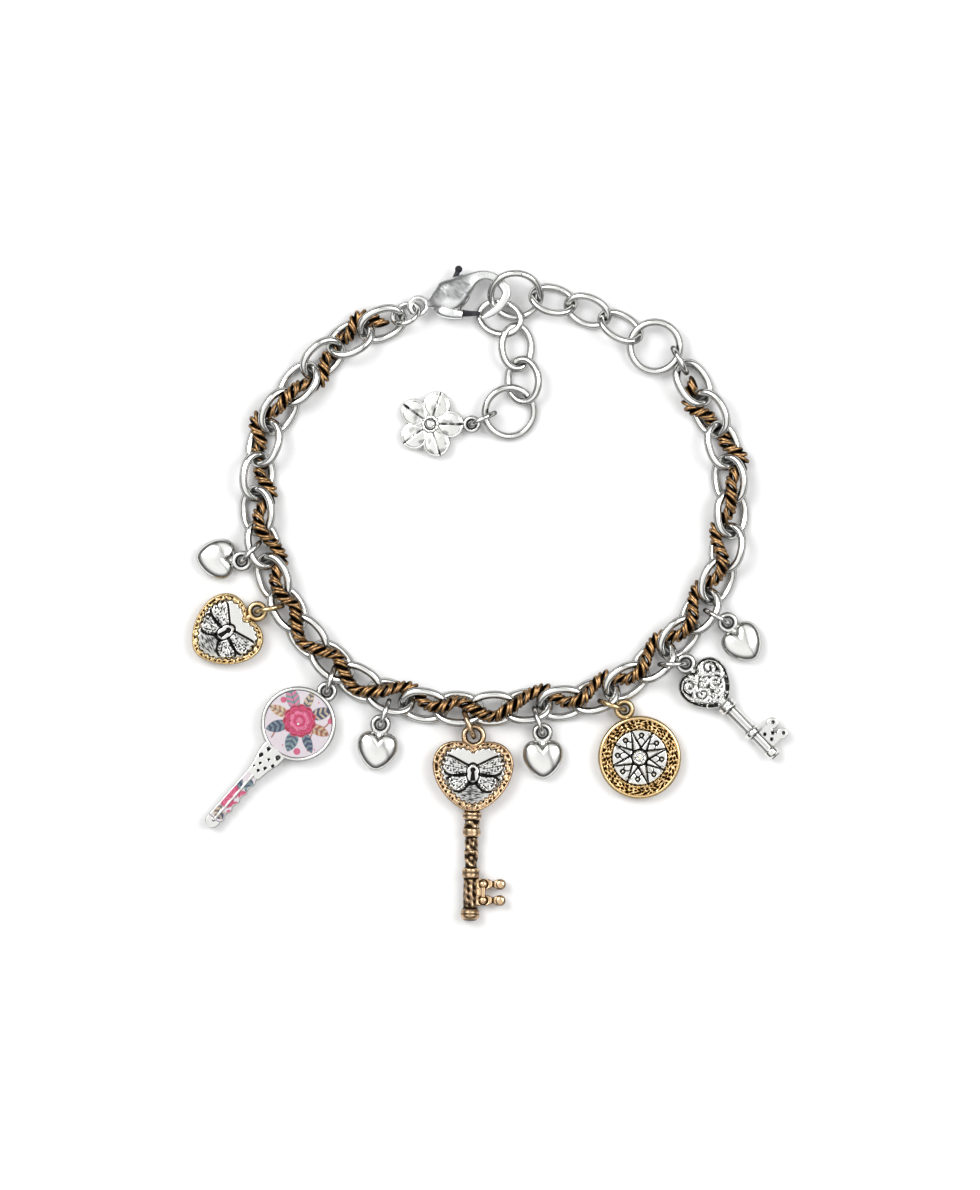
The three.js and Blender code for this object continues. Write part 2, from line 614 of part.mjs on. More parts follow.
function hang(name, solid, material, wire, loop, aim, ringMaterial, parent) {
  const towards = Math.atan2(loop[1] - wire.y, loop[0] - wire.x);
  const reach = Math.min(Math.max(Math.hypot(loop[0] - wire.x, loop[1] - wire.y), REACH_MIN), REACH_MAX);
  const ringAt = reach - RING_HALF_CHORD;
  standingRing(`${name}_jump_ring`, wire.x + ringAt * Math.cos(towards), wire.y + ringAt * Math.sin(towards),
    RING_HEIGHT, towards, ringMaterial, JUMP_RADIUS, JUMP_WIRE, parent);
  const x = wire.x + reach * Math.cos(towards);
  const y = wire.y + reach * Math.sin(towards);
  const way = Math.atan2(aim[1] - y, aim[0] - x) * 180 / Math.PI;
  const box = solid.boundingBox();
  const pitch = Math.asin((LOOP_HEIGHT + box.min[2] - REST) / box.max[0]) * 180 / Math.PI;
  const placed = solid.rotate([0, pitch, 0]).rotate([0, 0, way]).translate([x, y, LOOP_HEIGHT]);
  addPiece(name, toGeometry(placed), material, parent);
}

const CHARMS = [
  { name: 'small_heart_1', shape: smallHeart, link: 24, angle: -12, loop: [-32.67, 4.93], aim: [-36.27, 4.87] },
  {
    name: 'butterfly_heart', shape: butterflyHeart, metal: brass,
    link: 22, angle: 22, loop: [-31.08, -2.19], aim: [-39.36, -7.67],
  },
  {
    name: 'enamel_key', shape: enamelKey, metal: enamelled, ringMetal: silver,
    link: 20, angle: -28, loop: [-21.76, -12.88], aim: [-37.6, -30.8],
  },
  { name: 'small_heart_2', shape: smallHeart, link: 18, angle: 0, loop: [-14.67, -17.47], aim: [-15.4, -23.27] },
  {
    name: 'heart_key', shape: heartKey, metal: rosyBrass,
    link: 16, angle: -28, loop: [-2.01, -19.29], aim: [-2.68, -43.07],
  },
  { name: 'small_heart_3', shape: smallHeart, link: 14, angle: -25, loop: [7.0, -18.4], aim: [7.13, -24.13] },
  {
    name: 'compass_medallion', shape: compass, metal: brass,
    link: 12, angle: -30, loop: [18.93, -15.6], aim: [20.13, -22.2],
  },
  { name: 'silver_key', shape: silverKey, link: 10, angle: -28, loop: [26.44, -9.12], aim: [37.84, -21.24] },
  { name: 'small_heart_4', shape: smallHeart, link: 8, angle: -10, loop: [32.24, -3.97], aim: [35.47, -8.53] },
];
const charms = new THREE.Group();
charms.name = 'charms';
bracelet.add(charms);
for (const charm of CHARMS) {
  const metal = charm.metal ?? silver;
  const wire = wirePoint(links[charm.link - 1], charm.angle);
  hang(charm.name, charm.shape(), metal, wire, charm.loop, charm.aim, charm.ringMetal ?? metal, charms);
}

// The flower tag hangs from the extender's last ring
const tailRing = extenderTail[extenderTail.length - 1];
const tagEdge = v3(tailRing.x, tailRing.y, tailRing.z)
  .addScaledVector(v3(Math.cos(radians(193)), Math.sin(radians(193))), RING_RADIUS).setZ(1.7);
hang('flower_tag', flowerTag(), silver, tagEdge, [-2.93, 22.53], [-8.44, 22.8], silver, extender);

// The fine chain winds through the main one. At each joint it sits above it (U), under it (D),
// on the inner side (I) or on the outer side (O)

const WEAVE = 'UIDOUIUIUIUIUIUUUIUUUUUIUIDOUIDOU';
const FINE_AT_JOINT = {
  U: { side: 0, lift: 1.53 },
  D: { side: 0, lift: -1.22 },
  I: { side: -2.05, lift: 0 },
  O: { side: 2.05, lift: 0 },
};
const FINE_PASS = 1.4;

const finePoints = [];
links.forEach((link, i) => {
  const outerUp = (i + 1) % 2 === 0;
  const above = outerUp ? 'UI' : 'UO';
  const before = WEAVE[i];
  const after = WEAVE[i + 1];
  const centre = link.centre.clone();
  const passesAbove = above.includes(before) && above.includes(after);
  const passesBelow = !above.includes(before) && !above.includes(after);
  const lowSide = outerUp ? -1 : 1;
  if (passesAbove) centre.addScaledVector(link.outward, lowSide * FINE_PASS).addScaledVector(UP, 0.1);
  if (passesBelow) centre.addScaledVector(link.outward, -lowSide * FINE_PASS).addScaledVector(UP, -0.2);
  finePoints.push(centre);
  if (i < LINK_COUNT - 1) {
    const spot = FINE_AT_JOINT[after];
    const outward = link.outward.clone().add(links[i + 1].outward).normalize();
    const nextAbove = outerUp ? 'UO' : 'UI';
    const nextPasses = nextAbove.includes(after) && nextAbove.includes(WEAVE[i + 2]);
    const shift = after === 'U' ? (nextPasses ? 0.25 : 0) - (passesAbove ? 0.25 : 0) : 0;
    finePoints.push(joints[i + 1].clone().addScaledVector(outward, spot.side)
      .addScaledVector(UP, spot.lift).addScaledVector(link.along, shift));
  }
});

// A route whose own points are the ones that the section stops at
class FineRoute extends THREE.Curve {
  getPoint(share, target = new THREE.Vector3()) {
    const place = share * (finePoints.length - 1);
    const k = Math.min(Math.floor(place), finePoints.length - 2);
    return target.copy(finePoints[k]).lerp(finePoints[k + 1], place - k);
  }

  getUtoTmapping(share) {
    return share;
  }

  getTangent(share, target = new THREE.Vector3()) {
    const reach = 0.5 / (finePoints.length - 1);
    const ahead = this.getPoint(Math.min(share + reach, 1));
    const behind = this.getPoint(Math.max(share - reach, 0));
    return target.copy(ahead).sub(behind).normalize();
  }
}
const fineSection = new THREE.Shape(
  ellipse(0, 0, FINE_RADIUS, FINE_RADIUS, 0, 8).map((point) => new THREE.Vector2(point.x, point.y)),
);
const fineTube = new THREE.ExtrudeGeometry(fineSection, {
  steps: finePoints.length - 1,
  extrudePath: new FineRoute(),
  bevelEnabled: false,
});
addPiece('fine_chain', toGeometry(toSolid(fineTube)), brass);

// The origin is on the table, under the middle of everything
const size = new THREE.Box3().setFromObject(bracelet, true);
bracelet.position.set(-(size.min.x + size.max.x) / 2, -(size.min.y + size.max.y) / 2, -size.min.z);

export default bracelet;
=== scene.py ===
# %% [markdown]
# # A charm bracelet in antiqued silver and brass
# The bracelet lies closed on a pale table and is seen from straight above. A plain model of it is
# loaded first and stays as it is: it says where every link, ring and charm lies. Each of its pieces
# then gets a finer one in its place, with round wires, cast relief and worn metal.

# %% Load the plain model
import math

import bmesh
import bpy
import numpy as np
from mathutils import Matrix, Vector


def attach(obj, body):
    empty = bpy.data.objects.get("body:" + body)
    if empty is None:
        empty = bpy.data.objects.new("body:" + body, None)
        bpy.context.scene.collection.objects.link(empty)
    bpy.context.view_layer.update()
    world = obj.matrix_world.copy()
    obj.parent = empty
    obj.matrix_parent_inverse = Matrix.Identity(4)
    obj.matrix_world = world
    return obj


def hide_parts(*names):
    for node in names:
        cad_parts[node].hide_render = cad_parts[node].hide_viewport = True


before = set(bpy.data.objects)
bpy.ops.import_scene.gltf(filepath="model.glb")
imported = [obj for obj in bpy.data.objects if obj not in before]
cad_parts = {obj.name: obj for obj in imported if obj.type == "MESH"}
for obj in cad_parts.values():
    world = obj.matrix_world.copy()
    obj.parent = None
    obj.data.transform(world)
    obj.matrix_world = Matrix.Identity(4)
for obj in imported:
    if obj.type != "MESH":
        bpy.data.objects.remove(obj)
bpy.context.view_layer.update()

# %% [markdown]
# ## Working in millimetres
# Blender counts in metres, but a bracelet is easier to think of in millimetres. All shapes below are
# worked out in millimetres and are scaled once, when their mesh is made. The plain pieces are read
# the same way.

# %% Millimetres and directions
MM = 0.001
UP = np.array([0.0, 0.0, 1.0])


def unit(vector):
    return np.asarray(vector, float) / np.linalg.norm(vector)


def tilted(angle):
    """The matrix that turns points about the Y axis."""
    flat, up = math.cos(angle), math.sin(angle)
    return np.array([[flat, 0, up], [0, 1, 0], [-up, 0, flat]])


def node_points(name):
    """The corners of a plain piece, each once, in millimetres."""
    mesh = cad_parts[name].data
    points = np.zeros(len(mesh.vertices) * 3, np.float32)
    mesh.vertices.foreach_get("co", points)
    return np.unique(np.round(points.reshape(-1, 3) / MM, 3), axis=0)


# %% [markdown]
# ## One way to make every casting
# Nearly all of the bracelet is either bent wire or a small casting. Both can be described as rows of
# points: a wire is a row of round sections, and a charm is a row of ever larger outlines, lifted by
# its relief. So one collector takes such rows, joins neighbouring points with faces, and makes the
# mesh. It also keeps two things for the finish: a printed colour, and how dark the metal is at each
# point. That darkness is partly patina, because antiqued metal is black in its hollows and bright
# where it is rubbed, and partly painted shade: the sides and inner sides of wires and the rims of
# charms are darkened where shade would fall on them.

# %% The collector of castings
def new_mesh(name, points, faces):
    """A mesh from points in millimetres."""
    mesh = bpy.data.meshes.new(name)
    mesh.from_pydata((points * MM).tolist(), [], faces)
    return mesh


def face_outwards(mesh):
    shell = bmesh.new()
    shell.from_mesh(mesh)
    bmesh.ops.recalc_face_normals(shell, faces=shell.faces)
    shell.to_mesh(mesh)
    shell.free()


class Casting:
    def __init__(self):
        self.points, self.faces, self.kinds, self.patina, self.paint = [], [], [], [], []
        self.count = 0

    def add(self, rows, patina=0.0, kinds=0, paint=(1.0, 1.0, 1.0), ring=False):
        """Rows of points, each row closed. A ring also joins the last row to the first."""
        rows = np.asarray(rows, float)
        n, m = rows.shape[:2]
        spans = n if ring else n - 1
        i = np.arange(spans)[:, None] * m
        j = np.arange(m)[None, :]
        k = ((np.arange(spans)[:, None] + 1) % n) * m
        after = (j + 1) % m
        quads = np.stack([i + j, i + after, k + after, k + j], -1).reshape(-1, 4) + self.count
        self.faces += quads.tolist()
        self.kinds.append(np.broadcast_to(kinds, (spans, m)).reshape(-1))
        if not ring:
            last = self.count + (n - 1) * m
            self.faces += [list(range(self.count, self.count + m)), list(range(last, last + m))]
            self.kinds.append(np.zeros(2, int))
        self.points.append(rows.reshape(-1, 3))
        self.patina.append(np.broadcast_to(patina, (n, m)).reshape(-1))
        self.paint.append(np.broadcast_to(paint, (n, m, 3)).reshape(-1, 3))
        self.count += n * m

    def make(self, name, node, materials, body="bracelet", place=None, sharp=38):
        """The mesh of everything added. It takes the plain node's place."""
        points = np.concatenate(self.points)
        points = place(points) if place else points
        mesh = new_mesh(name, points, self.faces)
        mesh.polygons.foreach_set("material_index", np.concatenate(self.kinds).astype(np.int32))
        mesh.polygons.foreach_set("use_smooth", np.ones(len(self.faces), bool))
        # darkness at each point: patina in the hollows together with painted shade on wire sides, inner
        # sides and rims
        patina = mesh.attributes.new("patina", "FLOAT", "POINT")
        patina.data.foreach_set("value", np.concatenate(self.patina).astype(np.float32))
        paint = np.ones((self.count, 4), np.float32)
        paint[:, :3] = np.concatenate(self.paint)
        colour = mesh.attributes.new("print", "FLOAT_COLOR", "POINT")
        colour.data.foreach_set("color", paint.reshape(-1))
        face_outwards(mesh)
        if sharp:
            mesh.set_sharp_from_angle(angle=math.radians(sharp))
        for material in materials:
            mesh.materials.append(material)
        piece = bpy.data.objects.new(name, mesh)
        bpy.context.scene.collection.objects.link(piece)
        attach(piece, body)
        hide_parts(node)
        return piece


# %% [markdown]
# ## The metals
# Antiqued silver and brass are blackened all over and then rubbed bright, so the black stays in the
# hollows. The material mixes a clean and a dark colour by the darkness stored with each point,
# broken up with a soft cloud of noise. That darkness is tarnish in the hollows and also painted
# shade, so the dark colour stands for both. Rubbed metal is also smoother than tarnish, and fine
# scratches run over all of it, so roughness and a very small bump follow.

# %% A tree of shader nodes
class NodeTree:
    """Shader nodes of a material or a world. An input is a number or another node's output."""

    def __init__(self, owner):
        owner.use_nodes = True
        self.tree = owner.node_tree

    def feed(self, node, inputs):
        for key, value in inputs.items():
            if isinstance(value, bpy.types.NodeSocket):
                self.tree.links.new(value, node.inputs[key])
            else:
                node.inputs[key].default_value = value
        return node

    def add(self, kind, inputs, **settings):
        node = self.tree.nodes.new(f"ShaderNode{kind}")
        for key, value in settings.items():
            setattr(node, key, value)
        return self.feed(node, inputs)

    def ramp(self, value, stops):
        """Colours that blend into each other, from pairs of place and colour."""
        node = self.add("ValToRGB", {"Fac": value})
        elements = node.color_ramp.elements
        while len(elements) < len(stops):
            elements.new(0.5)
        for element, (place, colour) in zip(elements, stops):
            element.position = place
            element.color = (*colour, 1)
        return node.outputs["Color"]


# %% A worn metal
CLOUD_SCALE = 700.0
SCRATCH_SCALE = (9000.0, 1500.0, 4000.0)
SCRATCH_TURN = (0.0, 0.0, 0.6)


def metal(name, clean, tarnish_and_shade, gloss, dull, cloudy=0.3):
    material = bpy.data.materials.new(name)
    tree = NodeTree(material)
    where = tree.add("TexCoord", {}).outputs["Object"]
    # the stored darkness: tarnish in the hollows and painted shade
    dark = tree.add("Attribute", {}, attribute_name="patina").outputs["Fac"]

    cloud = tree.add("TexNoise", {"Vector": where, "Scale": CLOUD_SCALE, "Detail": 5.0}).outputs["Fac"]
    spread = tree.add("Math", {0: cloud, 1: cloudy, 2: -cloudy / 2}, operation="MULTIPLY_ADD").outputs[0]
    total = tree.add("Math", {0: spread, 1: dark}, operation="ADD", use_clamp=True).outputs[0]
    colour = tree.ramp(total, [(0.1, clean), (0.8, tarnish_and_shade)])

    stretch = tree.add("Mapping", {"Vector": where, "Scale": SCRATCH_SCALE, "Rotation": SCRATCH_TURN})
    scratches = tree.add("TexNoise", {"Vector": stretch.outputs["Vector"], "Scale": 1.0, "Detail": 3.0})
    scratches = scratches.outputs["Fac"]
    rough = tree.add("MapRange", {"Value": total, "To Min": gloss, "To Max": dull}).outputs["Result"]
    roughness = tree.add("Math", {0: scratches, 1: 0.12, 2: rough}, operation="MULTIPLY_ADD").outputs[0]
    bump = tree.add("Bump", {"Height": scratches, "Strength": 0.35, "Distance": 0.00001}).outputs["Normal"]
    tree.feed(tree.tree.nodes["Principled BSDF"],
              {"Metallic": 1.0, "Base Color": colour, "Roughness": roughness, "Normal": bump})
    return material


SILVER = metal("polished antiqued silver", (0.87, 0.87, 0.84), (0.022, 0.022, 0.020), 0.10, 0.45, 0.25)
BRUSHED = metal("brushed silver of the clasp", (0.80, 0.81, 0.80), (0.04, 0.04, 0.045), 0.2, 0.5, 0.3)
BRASS = metal("antiqued brass", (0.86, 0.63, 0.33), (0.020, 0.012, 0.005), 0.16, 0.5, 0.5)
ROPE_BRASS = metal("dark brass of the fine chain", (0.62, 0.36, 0.16), (0.014, 0.008, 0.004), 0.18, 0.5,
                   0.6)
ROSY = metal("antiqued rosy brass", (0.76, 0.53, 0.32), (0.022, 0.012, 0.006), 0.16, 0.5, 0.7)


# %% [markdown]
# ## Printed enamel
# The key with the round bow is filled with a printed picture under clear enamel. The picture is
# drawn further below, point by point, and stored as the colour named print. The material only adds
# the glassy coat and a faint unevenness.

# %% The enamel
GRAIN_SCALE = 3500.0

ENAMEL = bpy.data.materials.new("printed enamel")
glass = NodeTree(ENAMEL)
where = glass.add("TexCoord", {}).outputs["Object"]
colour = glass.add("Attribute", {}, attribute_name="print").outputs["Color"]
grain = glass.add("TexNoise", {"Vector": where, "Scale": GRAIN_SCALE, "Detail": 4.0}).outputs["Fac"]
shade = glass.add("MapRange", {"Value": grain, "To Min": 0.86, "To Max": 1.1}).outputs["Result"]
tinted = glass.add("VectorMath", {0: colour, "Scale": shade}, operation="SCALE").outputs["Vector"]
bump = glass.add("Bump", {"Height": grain, "Strength": 0.2, "Distance": 0.00002}).outputs["Normal"]
glass.feed(ENAMEL.node_tree.nodes["Principled BSDF"],
           {"Base Color": tinted, "Normal": bump, "Roughness": 0.22, "Coat Weight": 0.6,
            "Coat Roughness": 0.04})
print("materials:", [material.name for material in bpy.data.materials])

# %% [markdown]
# ## Bent wire
# Every link and jump ring is a round wire bent into an oval or a circle and closed. The plain wire
# has few flat sides, so it is measured - its middle, the way it points, its size - and bent again
# with many fine steps. Jump rings are cut open and pressed shut, which leaves a thin dark seam.

# %% Measure and bend wires
def measure_wire(name, wire, ahead=None):
    """Middle, long direction, short direction and both half-sizes of a plain wire."""
    points = node_points(name)
    centre = points.mean(0)
    along, across = np.linalg.svd(points - centre, full_matrices=False)[2][:2]
    if ahead is not None and along @ ahead < 0:
        along = -along
    if across @ np.cross(UP, along) < 0:
        across = -across
    half_length = ((points - centre) @ along).max() - wire / 2
    half_width = ((points - centre) @ across).max() - wire / 2
    return {"centre": centre, "along": along, "across": across, "long": half_length, "wide": half_width}


def measure_ring(name, wire):
    """The same for a round ring, whose two directions may lie any way round in its plane."""
    ring = measure_wire(name, wire)
    reach = np.linalg.norm(node_points(name) - ring["centre"], axis=1).max()
    ring["long"] = ring["wide"] = reach - wire / 2
    return ring


def wire_middle(shape, angle):
    """A point of the bent wire's middle line. A fullness above 2 gives blunter ends than an ellipse."""
    power = 2 / shape.get("fullness", 2)
    along = np.sign(np.cos(angle)) * np.abs(np.cos(angle)) ** power
    across = np.sign(np.sin(angle)) * np.abs(np.sin(angle)) ** power
    lengthwise = shape["along"] * shape["long"] * along
    return shape["centre"] + lengthwise + shape["across"] * shape["wide"] * across


def flat_ring(radius):
    """A round wire that lies flat, with its middle at zero."""
    return {"centre": np.zeros(3), "along": np.array([1.0, 0, 0]), "across": np.array([0, 1.0, 0]),
            "long": radius, "wide": radius}


# angles: how fine the steps at the seam are, and how far round it the even steps are left out;
# and how much thinner the wire is in the seam
SEAM = 0.014
SEAM_ROOM = 0.05
SEAM_WAIST = 0.72


def bend(casting, shape, wire, steps=56, sides=16, seam=None, darkening=0.0, side_shade=0.78):
    """A closed wire. Seam is the angle of its cut. Its inner side is darkened, partly tarnish and partly
    painted shade where other wires pass through it, and its sides are darkened with painted shade where
    they turn away from above.
    """
    angles = np.linspace(0, 2 * math.pi, steps, endpoint=False)
    if seam is not None:
        away = np.abs((angles - seam + math.pi) % (2 * math.pi) - math.pi) > SEAM_ROOM
        cut = seam + SEAM * np.array([-1.6, -1.0, 0.0, 1.0, 1.6])
        angles = np.sort(np.concatenate([angles[away], cut % (2 * math.pi)]))
    a = angles[:, None]
    middle = wire_middle(shape, a)
    normal = unit(np.cross(shape["along"], shape["across"]))
    outward = np.cross(wire_middle(shape, a + 0.02) - wire_middle(shape, a - 0.02), normal)
    outward /= np.linalg.norm(outward, axis=1, keepdims=True)
    radius = np.full(len(angles), wire / 2)
    turn = np.linspace(0, 2 * math.pi, sides, endpoint=False)
    # painted shade, with some tarnish, on the inner side of the wire, strongest towards the ends of an oval
    dark = darkening * np.clip(-np.cos(turn), 0, 1)[None, :] * (0.35 + 0.65 * np.cos(a) ** 2)
    if seam is not None:
        off = np.abs((angles - seam + math.pi) % (2 * math.pi) - math.pi) < SEAM * 0.5
        radius[off] *= SEAM_WAIST
        dark[off] = 1.0
    facing = outward[:, None, :] * np.cos(turn)[None, :, None] + normal * np.sin(turn)[None, :, None]
    # painted shade on the sides of the wire that turn away from above, which draws its dark outline
    dark = np.maximum(dark, side_shade * np.clip((0.70 - np.abs(facing[..., 2])) / 0.3, 0, 1))
    casting.add(middle[:, None, :] + radius[:, None, None] * facing, patina=dark, ring=True)


# %% [markdown]
# ## The main chain
# Thirty-two oval silver links run once round the wrist. Each is measured on its plain link. The
# links point along the chain, and they lean to one side and the other in turn. The plain wire's flat
# sides make it look thinner than it measures, so the round wire is a little thicker.

# %% Main chain
LINK_COUNT = 32
LINK_WIRE = 0.96
LINK_FULLNESS = 2.2
LINK_SWELL = 1.09

link_names = [f"chain_link_{i + 1:02d}" for i in range(LINK_COUNT)]
middles = np.array([node_points(name).mean(0) for name in link_names])
ways = np.gradient(middles, axis=0)
chain = [measure_wire(name, LINK_WIRE, way) for name, way in zip(link_names, ways)]
for name, shape in zip(link_names, chain):
    shape["fullness"] = LINK_FULLNESS
    casting = Casting()
    bend(casting, shape, LINK_WIRE * LINK_SWELL, darkening=0.5)
    casting.make(f"{name}_wire", name, [SILVER], sharp=None)
print("main links:", len(chain), "half length", round(chain[5]["long"], 2), "mm")

# %% [markdown]
# ## Jump rings
# Small rings join the charms to the chain, and one joins the last main link to the clasp. They are
# round, so only their plane matters. Each has its seam turned to another side.

# %% Jump rings and the clasp's ring
JUMP_WIRE = 0.65
BRASS_CHARMS = ("butterfly_heart", "compass_medallion")
JUMP_RINGS = {
    "clasp_link": (0.74, SILVER, "silver"),
    "extender_jump_ring": (0.75, SILVER, "silver"),
    "extender_hook_ring": (0.90, SILVER, "silver"),
}
CHARM_NAMES = ["small_heart_1", "butterfly_heart", "enamel_key", "small_heart_2", "heart_key",
               "small_heart_3", "compass_medallion", "silver_key", "small_heart_4", "flower_tag"]
for name in CHARM_NAMES:
    if name in BRASS_CHARMS:
        finish = (BRASS, "antique_brass")
    elif name == "heart_key":
        finish = (ROSY, "rosy_brass")
    else:
        finish = (SILVER, "silver")
    JUMP_RINGS[f"{name}_jump_ring"] = (JUMP_WIRE, *finish)

rings = {}
for k, (name, (wire, material, slot)) in enumerate(JUMP_RINGS.items()):
    rings[name] = measure_ring(name, wire)
    casting = Casting()
    bend(casting, rings[name], wire, sides=12, seam=0.7 + 1.1 * k, darkening=0.35)
    casting.make(f"{name}_wire", name, [material], sharp=None)
print("jump rings:", len(rings), "radius", round(rings["silver_key_jump_ring"]["long"], 2), "mm")

# %% [markdown]
# ## The extender
# A short length of chain lets the bracelet be worn wider. Its ovals and rings are fused in the plain
# model, so each is described again here by its middle, the way it points, its slope and its roll,
# measured before the bracelet was moved to the middle of the table. The hook ring, which is a piece
# of its own, shows how far that move was.

# %% Extender
HOOK_RING_MIDDLE = (3.4, 39.95, 2.31)
moved = rings["extender_hook_ring"]["centre"] - HOOK_RING_MIDDLE
RING_RADIUS = 3.3
OVAL_HALF_LENGTH = 2.86
EXTENDER_WIRE = 0.9
EXTENDER_SWELL = 1.06

EXTENDER_CHAIN = [
    dict(middle=(8.38, 39.33, 1.8), way=-12, slope=-6, roll=-32, wide=2.0),
    dict(middle=(13.02, 37.9, 1.62), way=-22, slope=0, roll=28, wide=2.0),
    dict(middle=(17.39, 35.77, 1.75), way=-30, slope=0, roll=-38, wide=2.0),
    dict(middle=(22.0, 33.11, 1.75), way=-30, slope=0, roll=6, wide=RING_RADIUS, long=RING_RADIUS),
]
EXTENDER_TAIL = [
    dict(middle=(1.33, 36.95, 1.12), way=-15, slope=13, roll=0, wide=2.15),
    dict(middle=(3.53, 33.07, 1.3), way=-88, slope=0, roll=-22, wide=2.1),
    dict(middle=(4.43, 28.6, 1.42), way=-86, slope=0, roll=23, wide=2.2),
    dict(middle=(2.6, 24.4, 1.24), way=-45, slope=-13, roll=0, wide=RING_RADIUS, long=RING_RADIUS),
]


def extender_wire(middle, way, slope, roll, wide, long=OVAL_HALF_LENGTH):
    way, slope, roll = (math.radians(angle) for angle in (way, slope, roll))
    flat = math.cos(slope)
    along = np.array([math.cos(way) * flat, math.sin(way) * flat, math.sin(slope)])
    left = unit(np.cross(UP, along))
    across = left * math.cos(roll) + np.cross(along, left) * math.sin(roll)
    return {"centre": np.array(middle) + moved, "along": along, "across": across, "long": long,
            "wide": wide}


for node, wires_list in (("extender_chain", EXTENDER_CHAIN), ("extender_tail", EXTENDER_TAIL)):
    casting = Casting()
    for k, entry in enumerate(wires_list):
        wire = EXTENDER_WIRE * EXTENDER_SWELL
        bend(casting, extender_wire(**entry), wire, seam=1.3 + 2.2 * k, darkening=0.5)
    casting.make(f"{node}_wires", node, [SILVER], sharp=None)
print("extender moved by", np.round(moved, 3), "mm")

# %% [markdown]
# ## The fine chain's way
# A fine brass chain winds in and out of the main links. At each place where two main links meet it
# lies above them, below them, on the inner side or on the outer side. A path through these places is
# smoothed, and then pushed away from the silver wires wherever it comes too near, a little at a
# time, as a real chain finds its own room.

# %% Path of the fine chain
WEAVE = "UIDOUIUIUIUIUIUUUIUUUUUIUIDOUIDOU"
END_OVERLAP = 1.28
AT_JOINT = {"U": (0, 1.53), "D": (0, -1.05), "I": (-2.05, 0), "O": (2.05, 0)}
PASS_SIDE = 1.4


def joint_after(k):
    """Where main link k meets the next one; k = -1 is the free end of the first."""
    shape = chain[max(k, 0)]
    reach = shape["long"] - END_OVERLAP / 2
    return shape["centre"] + shape["along"] * (reach if k >= 0 else -reach)


def weave_path():
    path = []
    for k, shape in enumerate(chain):
        outer_up = k % 2 == 1
        above = "UI" if outer_up else "UO"
        before, after = WEAVE[k], WEAVE[k + 1]
        outward = unit(np.cross(UP, shape["along"]))
        low_side = -1 if outer_up else 1
        spot = shape["centre"].copy()
        if before in above and after in above:
            spot += outward * low_side * PASS_SIDE + UP * 0.1
        elif before not in above and after not in above:
            spot += -outward * low_side * PASS_SIDE - UP * 0.1
        path.append(spot)
        if k < LINK_COUNT - 1:
            side, lift = AT_JOINT[after]
            outward = unit(outward + np.cross(UP, chain[k + 1]["along"]))
            path.append(joint_after(k) + outward * side + UP * lift)
    return np.array(path)


def rounded(points, per_span, closed=False):
    """A smooth curve through the points."""
    if closed:
        padded = np.vstack([points[-1:], points, points[:2]])
    else:
        padded = np.vstack([2 * points[0] - points[1], points, 2 * points[-1] - points[-2]])
    t = np.linspace(0, 1, per_span, endpoint=False)[:, None]
    spans = []
    for k in range(len(padded) - 3):
        a, b, c, d = padded[k:k + 4]
        spans.append(0.5 * (2 * b + (c - a) * t + (2 * a - 5 * b + 4 * c - d) * t ** 2
                            + (3 * b - a - 3 * c + d) * t ** 3))
    curve = np.vstack(spans)
    return curve if closed else np.vstack([curve, points[-1:]])


def spaced(points, step):
    """Points at even distances along a curve."""
    gone = np.concatenate([[0], np.cumsum(np.linalg.norm(np.diff(points, axis=0), axis=1))])
    count = max(int(gone[-1] / step), 1)
    wanted = np.linspace(0, gone[-1], count + 1)
    return np.stack([np.interp(wanted, gone, points[:, k]) for k in range(points.shape[1])], -1)


# room from a silver wire's surface to the path, the path's lowest and highest place
FINE_ROOM = 0.62
FINE_LOWEST = 0.62
FINE_HIGHEST = 3.85
SETTLE_ROUNDS = 60
PUSH = 0.4
SMOOTHING = 0.25
PATH_STEP = 0.25

obstacle_angles = np.linspace(0, 2 * math.pi, 40, endpoint=False)[:, None]
obstacles = np.vstack([wire_middle(shape, obstacle_angles) for shape in chain])
path = spaced(rounded(weave_path(), 8), PATH_STEP)
for _ in range(SETTLE_ROUNDS):
    apart = path[:, None, :] - obstacles[None, :, :]
    distance = np.linalg.norm(apart, axis=2)
    nearest = distance.argmin(1)
    rows = np.arange(len(path))
    gap = distance[rows, nearest]
    short = np.clip(LINK_WIRE / 2 + FINE_ROOM - gap, 0, None)
    path += apart[rows, nearest] / np.maximum(gap, 0.05)[:, None] * short[:, None] * PUSH
    path[1:-1] += SMOOTHING * (path[:-2] + path[2:] - 2 * path[1:-1])
    path[:, 2] = np.clip(path[:, 2], FINE_LOWEST, FINE_HIGHEST)
print("fine chain length", round(float(np.linalg.norm(np.diff(path, axis=0), axis=1).sum())), "mm")

# %% [markdown]
# ## The fine chain's links
# It is a dense chain of short stout ovals. Each stands nearly upright across the chain and
# slants along it, and they lean to one side and the other in turn, so that from above they look like
# twisted cord. Only what stands out furthest from the cord's middle is bright; the rest stays
# black, partly as tarnish that rubbing doesn't reach and partly as painted shade between the links.

# %% Links of the fine chain
FINE_WIRE = 0.5
FINE_PITCH = 0.74
FINE_HALF_LENGTH = 0.86
FINE_HALF_WIDTH = 0.56
FINE_LEAN = math.radians(20)
FINE_SLANT = 1.0
# distance from the cord's middle where the wire starts to get brighter, and over which it gets bright
BRIGHT_FROM = 0.55
BRIGHT_OVER = 0.36
TABLE_ROOM = 0.03

